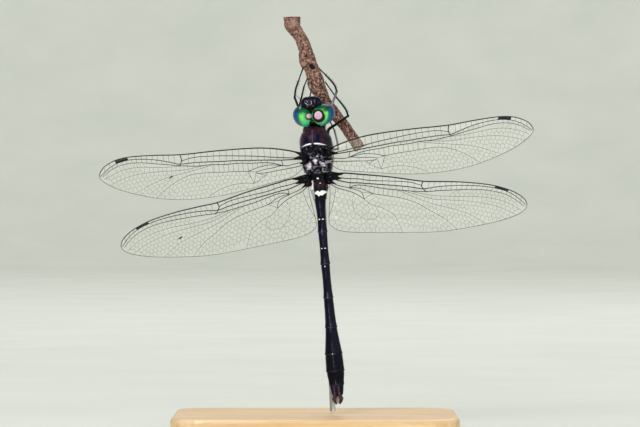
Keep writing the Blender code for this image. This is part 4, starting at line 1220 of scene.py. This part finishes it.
def make_legs(cuticle):
    """Each leg: hip, thigh with short spines, shin with long ones, three foot joints and two claws."""
    roll = np.array(spin("Z", -TRUNK_ROLL))[:3, :3]
    for name, hip, bend, knee, shin in LEGS:
        hip = roll @ np.array(hip)
        bend, knee = np.array(bend), np.array(knee)
        shin_top, ankle, foot = (np.array(p) for p in shin)
        thigh_light, shin_light = SILVER_LIMBS.get(name, (0.0, 0.0))
        shape = Shape()
        # Hip block and ring joint.
        route = smooth_route((hip + (hip - bend) * 0.5, hip, hip + (bend - hip) * 0.75), 0.08)
        shape.add(*tube(route, 0.3 + 0.2 * np.sin(np.linspace(0.5, 2.9, len(route))), 20))
        # Thigh: widest near the body, a knob at the knee.
        route = smooth_route((hip + (bend - hip) * 0.6, bend, bend + (knee - bend) * 0.35,
                              bend + (knee - bend) * 0.75, knee), 0.1)
        share = np.linspace(0, 1, len(route))
        thick = 0.31 - 0.08 * share + 0.04 * bump(share - 1, 0.03) + 0.03 * bump(share - 0.2, 0.15)
        points, faces = tube(route, thick, 16)
        shape.add(points, faces, silver=silver_light(points, route, thick, thigh_light))
        spines(shape, route, 12, 0.3, 0.3, 0.95, 0.8, 0.022)
        shape.add(*ball(knee, (0.25, 0.25, 0.25), 16, 12))
        route = smooth_route((knee, shin_top, ankle), 0.1)
        share = np.linspace(0, 1, len(route))
        thick = 0.21 - 0.04 * share + 0.02 * bump(share - 1, 0.04)
        points, faces = tube(route, thick, 14)
        shape.add(points, faces, silver=silver_light(points, route, thick, shin_light))
        spines(shape, route, 13, 0.62, 0.08, 0.97, 0.9, 0.02)
        add_foot(shape, ankle, foot)
        shape.piece("leg_" + name, BODY, [cuticle], ["thigh_" + name, "shin_" + name])


def make_claspers(cuticle, pale):
    """The two hooked claspers, each with a spur outside, and the plate between them."""
    for name, side in (("clasper_left", -1), ("clasper_right", 1)):
        shape = Shape()
        shape.add(*limb([(side * x, y, z, radius) for x, y, z, radius in CLASPER_ROWS], 20))
        spur = np.array([(side * x, y, z, radius) for x, y, z, radius in SPUR_ROWS])
        shape.add(*tube(spur[:, :3], spur[:, 3], 10))
        shape.piece(name + "_hook", TRUNK, [cuticle], [name])
    points, faces = limb(TAIL_PLATE_ROWS, 20)
    shape = Shape()
    shape.add(points * (1.35, 1.0, 1.0), faces)
    shape.piece("tail_plate_skin", TRUNK, [pale], ["tail_plate"])


# ---------------------------------------------------------------- wings

def wing_place(side, root, sweep, droop):
    """Where a wing's own frame lies: x outward, y to the belly, z forward, from its root."""
    turn = Euler((0.0, side * math.radians(sweep), side * math.radians(droop)), "XYZ").to_matrix().to_4x4()
    return BODY @ Matrix.Translation(root) @ turn


class Blade:
    """One wing's outline, pleats and veins, in (outward, rearward) millimetres."""

    def __init__(self, front, rear, veins, links, fields):
        self.front = front
        self.rear = rear
        self.veins = veins
        self.links = links
        self.root, self.length = front[0][0], front[-1][0]
        self.fields = [(self.line(before), self.line(after), *rest) for before, after, *rest in fields]

    def line(self, name):
        """A vein or the rear edge by name, or two that take over from each other at a place."""
        if isinstance(name, str):
            return {**self.veins, "edge": self.rear, "": ()}[name]
        first, second, place = name
        return (tuple(p for p in self.line(first) if p[0] < place - 0.3)
                + tuple(p for p in self.line(second) if p[0] > place + 0.3))

    def height(self, flat):
        """Pleats: a strong fold behind the front vein, then a shallow fan that dies out at the tip."""
        outward, rearward = flat[:, 0], flat[:, 1]
        front, rear = across_at(self.front, outward), across_at(self.rear, outward)
        across = np.clip((rearward - front) / np.maximum(rear - front, 0.05), 0, 1)
        share = np.clip((outward - self.root) / (self.length - self.root), 0, 1)
        fold = 0.25 * (1 - share) * np.interp(across, (0, 0.14, 0.3, 1), (0, 1, 0, 0))
        fan = 0.05 * (1 - share) * np.sin(across * TAU * 5) * within(across, 0.3, 0.9, 0.1)
        sag = 0.08 * np.sin(share * math.pi) * np.sin(across * math.pi)
        return fold + fan - sag

    def lift(self, flat, side, above=0.0):
        """Flat points set on the pleated surface, in the wing's own frame."""
        flat = np.asarray(flat, float)
        return np.stack((side * flat[:, 0], -(self.height(flat) + above), -flat[:, 1]), axis=-1)

    def sheet(self, flat, side, above):
        """Rings round a closed sheet over a grid of flat points, this far above and below the surface."""
        rows, columns = flat.shape[:2]
        over, under = (self.lift(flat.reshape(-1, 2), side, far).reshape(rows, columns, 3)
                       for far in (above, -above))
        rings = np.concatenate((over, under[:, ::-1]), axis=1)
        return rings.reshape(-1, 3), ring_faces(rows, 2 * columns)


def across_at(rows, outward):
    """How far rearward a line lies at places outward."""
    return rows_at(rows, outward)[:, 0]


def nearest_on(line, point):
    """The nearest point of a polyline, and how far off it is."""
    start, end = line[:-1], line[1:]
    along = end - start
    share = np.sum((point - start) * along, axis=1) / np.maximum(np.sum(along**2, axis=1), 1e-9)
    share = np.clip(share, 0, 1)
    spots = start + along * share[:, None]
    gaps = np.linalg.norm(spots - point, axis=1)
    best = int(np.argmin(gaps))
    return spots[best], gaps[best]


def circle_middle(a, b, c):
    """The middle of the circle through three points."""
    d = 2 * (a.x * (b.y - c.y) + b.x * (c.y - a.y) + c.x * (a.y - b.y))
    if abs(d) < 1e-9:
        return np.array((a.x, a.y))
    aa, bb, cc = a.length_squared, b.length_squared, c.length_squared
    return np.array(((aa * (b.y - c.y) + bb * (c.y - a.y) + cc * (a.y - b.y)) / d,
                     (aa * (c.x - b.x) + bb * (a.x - c.x) + cc * (b.x - a.x)) / d))


def cell_middles(fields, dice):
    """Loose rows of cell middles over each field, and which field each lies in."""
    middles, owners = [], []
    for owner, (upper, lower, start, end, pitch, tall) in enumerate(fields):
        loose = 0.09 * pitch
        outward = start + pitch * 0.4
        while outward < end:
            top, bottom = across_at(upper, [outward])[0], across_at(lower, [outward])[0]
            width = bottom - top
            rows = max(1, int(round(width / tall))) if width > 0.22 else 0
            for k in range(rows):
                shift = pitch * 0.5 if k % 2 else 0.0
                middles.append((outward + shift + dice.uniform(-loose, loose),
                                top + width * (k + 0.5) / rows + dice.uniform(-loose, loose) * min(width, 1)))
                owners.append(owner)
            outward += pitch
    return np.array(middles), owners


def cell_walls(blade, dice):
    """Walls of the small cells: neighbours' middles decide them, and they end on the long veins."""
    middles, owners = cell_middles(blade.fields, dice)
    # Mirrored middles beyond the edge, so that the last walls meet it squarely.
    span = np.linspace(blade.root, blade.length - 0.05, 260)
    rim = [np.column_stack((span, across_at(rows, span))) for rows in (blade.front, blade.rear)]
    nearest = [(middle, *nearest_on(line, middle)) for middle in middles for line in rim]
    mirrored = [2 * spot - middle for middle, spot, gap in nearest if gap < 1.6]
    everything = np.vstack((middles, mirrored, [(-60, -60), (100, -60), (100, 60), (-60, 60)]))
    owners += [-1] * (len(everything) - len(middles))
    result = geometry.delaunay_2d_cdt([Vector(p) for p in everything], [], [], 0, 1e-7)
    spots, triangles, sources = result[0], result[2], result[3]
    kin = [owners[source[0]] if source else -1 for source in sources]
    centres = [circle_middle(*(spots[k] for k in corners)) for corners in triangles]
    beside = {}
    for index, (a, b, c) in enumerate(triangles):
        for i, j, third in ((a, b, c), (b, c, a), (c, a, b)):
            beside.setdefault((min(i, j), max(i, j)), []).append((index, third))
    borders = []
    for upper, lower, start, end, *_ in blade.fields:
        pair = []
        for rows in (upper, lower):
            low = max(start - 0.6, min(r[0] for r in rows))
            high = min(end + 0.6, max(r[0] for r in rows))
            span = np.linspace(low, high, max(12, int((high - low) / 0.15)))
            pair.append(np.column_stack((span, across_at(rows, span))))
        borders.append(pair)
    walls = []
    for (i, j), found in beside.items():
        owner = kin[i]
        if len(found) != 2 or owner < 0 or owner != kin[j]:
            continue
        ends, held = [], []
        for index, third in found:
            point, pick = centres[index], -1
            if kin[third] != owner:
                spot_gaps = [nearest_on(line, point) for line in borders[owner]]
                pick = 0 if spot_gaps[0][1] < spot_gaps[1][1] else 1
                point = spot_gaps[pick][0]
            ends.append(point)
            held.append(pick)
        if held[0] == held[1] >= 0:
            middle = (np.array(spots[i]) + np.array(spots[j])) / 2
            ends = [nearest_on(line, middle)[0] for line in borders[owner]]
        outward, level = np.array(ends).T
        tops = across_at(blade.fields[owner][0], outward) - 0.08
        bottoms = across_at(blade.fields[owner][1], outward) + 0.08
        if (0.12 < np.linalg.norm(ends[0] - ends[1]) < 2.6
                and np.all(level > tops) and np.all(level < bottoms)):
            walls.append(ends)
    return walls


def ladder(upper, lower, places, lean=0.0):
    """Straight cross veins between two long ones."""
    return [np.array(((place, across_at(upper, [place])[0]),
                      (place + lean, across_at(lower, [place + lean])[0]))) for place in places]


def make_wing(name, side, root, sweep, droop, stigma, wax, membrane, vein):
    """A wing: a clear pleated sheet, and its veins with the cells, the dark cell and, on some, a short dark
    bar.
    """
    fore = name.startswith("fore")
    blade = Blade(*(FORE_WING if fore else HIND_WING))
    nodus, first, radius_start, sector_rungs = FORE_RUNGS if fore else HIND_RUNGS
    place = wing_place(side, root, sweep, droop)
    dice = random.Random(100 + (0 if fore else 7) + side)
    reach = blade.length - 0.03 - blade.root

    part = np.linspace(0, 1, 110)
    stations = blade.root + reach * (0.3 * part + 0.7 * np.sin(part * math.pi / 2))
    front, rear = across_at(blade.front, stations), across_at(blade.rear, stations)
    across = front[:, None] + (rear - front)[:, None] * np.linspace(0, 1, 30)
    flat = np.stack((np.broadcast_to(stations[:, None], across.shape), across), axis=-1)
    tint = np.exp(-np.clip(flat[..., 0] - blade.root, 0, 99) / 1.6) * bump(flat[..., 1] - 1.2, 2.2)
    shape = Shape()
    shape.add(*blade.sheet(flat, side, MEMBRANE_THICKNESS / 2),
              amber=np.clip(1.6 * np.concatenate((tint, tint[:, ::-1]), axis=1), 0, 1).ravel())
    shape.piece(name + "_membrane", place, [membrane], [name])

    shape = Shape()

    def lay(points, thick, fine, sides=6, step=0.4):
        """A vein: thick lists its radii from start to end, fine is how pale and thin it looks."""
        route = smooth_route(points, step)
        radii = np.interp(np.linspace(0, 1, len(route)), np.linspace(0, 1, len(thick)), thick)
        shape.add(*tube(blade.lift(route, side), radii, sides), fine=fine)

    part = np.sin(np.linspace(0.0, 1.0, 150) * math.pi / 2)
    outward = blade.root + 0.4 + (reach - 0.4) * part
    front_line = np.column_stack((outward, across_at(blade.front, outward)))
    outward = blade.root + reach * part
    rear_line = np.column_stack((outward, across_at(blade.rear, outward)))
    lay(front_line, (0.16, 0.13, 0.125, 0.11, 0.085), 0.0, 8)
    lay(np.vstack((front_line[-1:], rear_line[::-1])), (0.06, 0.042, 0.036, 0.042, 0.05), 0.5, 6)
    v = blade.veins
    for key, rows in v.items():
        lay(rows, VEIN_RADII[key], 0.0 if key in BLACK_VEINS else 0.35)
    for rows, radii, fine in blade.links:
        lay(rows, radii, fine, 6, 0.2)
    after = [p for p in np.arange(nodus + 1.3, blade.length - 0.8, 1.15)
             if not stigma[0] - 0.5 < p < stigma[1] + 0.4]
    for upper, lower, places, *lean in (
            (blade.front, v["subcosta"], np.arange(first, nodus - 0.7, 1.33)),
            (v["subcosta"], v["radius"], np.arange(first + 0.1, nodus - 0.5, 1.33)),
            (blade.front, v["radius"], after),
            (v["radius"], v["sector"], np.arange(radius_start, nodus - 0.3, 1.3)),
            (v["radius"], v["sector"], np.arange(nodus + 0.9, blade.length - 1.2, 1.05), -0.1),
            (v["sector"], v["media"], np.arange(*sector_rungs))):
        for rung in ladder(upper, lower, places, *lean):
            lay(rung, (0.034, 0.03), 0.4, 5, 0.5)
    for wall in cell_walls(blade, dice):
        lay(wall, (0.021, 0.021), 1.0, 4, 0.7)
    # Dark cell at the front edge near the tip.
    spots = np.linspace(*stigma, 16)
    top = across_at(blade.front, spots + 0.25) + 0.02
    bottom = across_at(v["radius"], spots)
    flat = np.stack([np.stack((spots + lean, across), -1) for lean, across in
                     ((0.25, top), (0.12, (top + bottom) / 2), (0.0, bottom))], axis=1)
    shape.add(*blade.sheet(flat, side, 0.07), fine=0.0)
    # A short dark bar on the left wings.
    if wax:
        lay(*wax, 0.0, 8, 0.2)
    shape.piece(name + "_veins", place, [vein], [name])


def make_wing_roots(cuticle):
    """Black hinge plates at each wing's root, melted into one wedge that the front veins leave."""
    sides = 20
    for name, side, root, sweep, droop, *_ in WINGS:
        shape = Shape()
        for wedge in FORE_WEDGES if name.startswith("fore") else HIND_WEDGES:
            rows = [(side * outward, -up, -rearward, r) for outward, rearward, up, r in wedge]
            route = smooth_route(rows, 0.1)
            points, faces = tube(route[:, :3], route[:, 3], sides)
            middle = np.repeat(route[:, 1], sides)
            points[:, 1] = middle + (points[:, 1] - middle) * 0.75
            lump = value_noise(points, 0.5, 31) * 0.06 + value_noise(points, 0.25, 32) * 0.03
            shape.add(points + np.column_stack((0 * lump, lump, lump)), faces)
        place = wing_place(side, root, sweep, droop)
        melt(shape.piece(name + "_hinge", place, [cuticle], [name]), 4)


# ---------------------------------------------------------------- twig and stand

def make_twig(bark, cut_wood):
    """The cut twig: lumpy bark with cracks, pores, a leaf scar and sawn ends."""
    step, sides = 0.1, 112
    route = smooth_route([(x, TWIG_DEPTH, z, radius) for x, z, radius in TWIG_ROWS], step)
    centre, radius = route[:, :3], route[:, 3]
    points, faces = tube(centre, radius - 0.1, sides)
    grid = points.reshape(len(route), sides, 3)
    normals = (grid - centre[:, None]) / (radius - 0.1)[:, None, None]
    x, y, z = points.T
    angle = np.broadcast_to(np.arange(sides) * TAU / sides, grid.shape[:2]).ravel()
    along = np.broadcast_to(np.arange(len(route))[:, None] * step, grid.shape[:2]).ravel()
    level = np.zeros_like(along)
    fissure = np.abs(value_noise(np.column_stack((angle * 4.0, along * 0.35, level)), 0.6, 21))
    wide_lumps = value_noise(points, 1.6, 22)
    crumbs = value_noise(points, 0.35, 23)
    # Corky pores: short raised bars across the twig.
    pores = ramp(value_noise(np.column_stack((angle * 1.4, along * 2.2, level)), 0.7, 24), 0.45, 0.8)
    lift = 0.12 * wide_lumps + 0.05 * crumbs - 0.09 * bump(fissure, 0.12) + 0.07 * pores
    # A leaf scar on the front, dark in the middle with a raised rim.
    scar = np.hypot((x + 0.75) / 0.68, (z - 77.2 + 0.25 * x) / 0.7) * (1 + 0.3 * crumbs)
    scar = scar + (y > TWIG_DEPTH) * 9
    lift = lift + 0.16 * bump(scar - 1.15, 0.25) - 0.1 * (1 - ramp(scar, 0.7, 1.0))
    skin = points + normals.reshape(-1, 3) * np.clip(lift, -0.3, 0.22)[:, None]
    # Darker along the fissures, and in the hollows between the lumps as painted shade.
    crack = np.clip(bump(fissure, 0.09) * 0.8 + ramp(-wide_lumps, 0.3, 0.9) * 0.5, 0, 1)
    # Painted shade: darker towards the right side; pale patches round the swellings.
    across = (x - np.repeat(centre[:, 0], sides)) / np.repeat(radius, sides)
    shade = 0.9 * ramp(across + 0.25 * wide_lumps, 0.0, 0.75) * ramp(-z, -86.0, -74.0)
    front = y < TWIG_DEPTH + 0.6
    pale = front * ovals(x, z, PALE_BARK, lambda far: bump(np.sqrt(far), 0.85))
    for px, pz, half_x, half_z, lean in KNOT_DARK_MARKS:
        far = np.hypot((x - px) / half_x, (z - pz - lean * (x - px)) / half_z)
        crack = np.maximum(crack, front * bump(far, 0.9))
    shape = Shape()
    shape.add(skin, faces[:-2], crack=crack, scar=1 - ramp(scar, 0.75, 1.0), shade=shade,
              pale=pale * (0.6 + 0.4 * crumbs))
    # Sawn ends as discs of rings, so that the growth rings can be seen.
    steps = np.linspace(1.0, 0.02, 30)
    ring = 0.75 * (0.5 + 0.5 * np.sin(steps * 34 + 0.5 * np.sin(steps * 9)))
    ring = np.where((steps > 0.93) | (steps < 0.07), 1.0, ring)
    quads = ring_faces(len(steps), sides, closed=False)
    quads.append(list(range((len(steps) - 1) * sides, len(steps) * sides)))
    for row, turn in ((0, -1), (-1, 1)):
        rim = skin.reshape(grid.shape)[row]
        middle = rim.mean(axis=0)
        disc = middle + (rim - middle) * steps[:, None, None]
        shape.add(disc.reshape(-1, 3), [face[::turn] for face in quads], slot=1, ring=np.repeat(ring, sides))
    face_outwards(shape.piece("perch_bark", WORLD, [bark, cut_wood], ["perch"]), join=True)


# ---------------------------------------------------------------- studio

def add_lamp(name, place, size, power, aim):
    """A round soft lamp that faces along aim."""
    light = bpy.data.lights.new(name, "AREA")
    light.shape = "DISK"
    light.size = size
    light.energy = power
    lamp = placed(name, light)
    lamp.location = place
    lamp.rotation_euler = aim.to_track_quat("-Z", "Y").to_euler()


def make_studio():
    """A pale floor that sweeps up all round, soft lights, and the camera square to the back."""
    paper = finish("pale_studio_paper", (60.0, "#cfd2ca", "#d5d7cf"), rough=(20.0, 0.8, 0.9),
                   Specular_IOR_Level=0.2)
    # Half the backdrop's section in metres, as (radius, height).
    profile = [(0.001, 0.0), (0.6, 0.0), (1.4, 0.0), (2.0, 0.0)]
    profile += [(2.0 + 0.8 * math.sin(a), 0.8 - 0.8 * math.cos(a))
                for a in np.linspace(0.13, math.pi / 2, 12)]
    profile.append((2.8, 2.6))
    sides = 64
    points = [(r * math.cos(a), r * math.sin(a), z)
              for r, z in profile for a in np.arange(sides) * TAU / sides]
    faces = ring_faces(len(profile), sides, closed=False)
    faces.append(list(range(sides)))
    backdrop = placed("backdrop", smooth_mesh("backdrop", points, faces, [paper]))
    backdrop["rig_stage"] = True

    world = bpy.data.worlds.new("studio_air")
    world.use_nodes = True
    world.node_tree.nodes["Background"].inputs["Color"].default_value = (0.93, 0.95, 1.0, 1.0)
    world.node_tree.nodes["Background"].inputs["Strength"].default_value = 0.32
    bpy.context.scene.world = world

    # Lamps that face away from the model light the paper all round.
    for k in range(6):
        turn = (k + 0.5) * TAU / 6
        out = Vector((math.cos(turn), math.sin(turn), 0.0))
        add_lamp(f"wall_{k}", out * 1.1 + Vector((0, 0, 1.7)), 0.8, 13.0 if k < 3 else 7.0,
                 out + Vector((0, 0, -0.75)))
    for name, place, size, power in LAMPS:
        add_lamp(name, place, size, power, Vector(LAMP_TARGET) - Vector(place))

    lens = bpy.data.cameras.new("camera")
    lens.sensor_width = 36.0
    lens.lens = lens.sensor_width * CAMERA_DISTANCE / VIEW_WIDTH
    lens.clip_start = 0.01
    camera = placed("camera", lens)
    camera.location = Vector(CAMERA_TARGET) - Vector((0, CAMERA_DISTANCE, 0))
    camera.rotation_euler = (math.radians(90), 0.0, 0.0)
    bpy.context.scene.camera = camera
    bpy.context.scene.view_settings.view_transform = "Standard"


def main():
    """Makes the studio and every piece, then turns faces outwards and finishes the stand."""
    make_studio()
    body_cuticle = make_body_cuticle()
    leg_cuticle = make_leg_cuticle()
    make_trunk(body_cuticle)
    make_trunk_hair(make_hair())
    make_head(make_head_cuticle())
    make_eyes(make_eye_glass())
    make_ocelli(make_ocellus_glass())
    make_antennae(leg_cuticle)
    make_legs(leg_cuticle)
    make_claspers(make_clasper_cuticle(), make_pale_cuticle())
    membrane, vein = make_membrane(), make_vein()
    for wing in WINGS:
        make_wing(*wing, membrane, vein)
    make_wing_roots(body_cuticle)
    make_twig(make_bark(), make_cut_wood())
    for body in bpy.context.scene.objects:
        if body.type == "MESH" and "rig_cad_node" not in body and not body.get("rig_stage"):
            face_outwards(body)
    for name, material in (("stand_base", make_maple()), ("stand_rod", make_steel())):
        frame["nodes"][name].data.materials.clear()
        frame["nodes"][name].data.materials.append(material)


main()
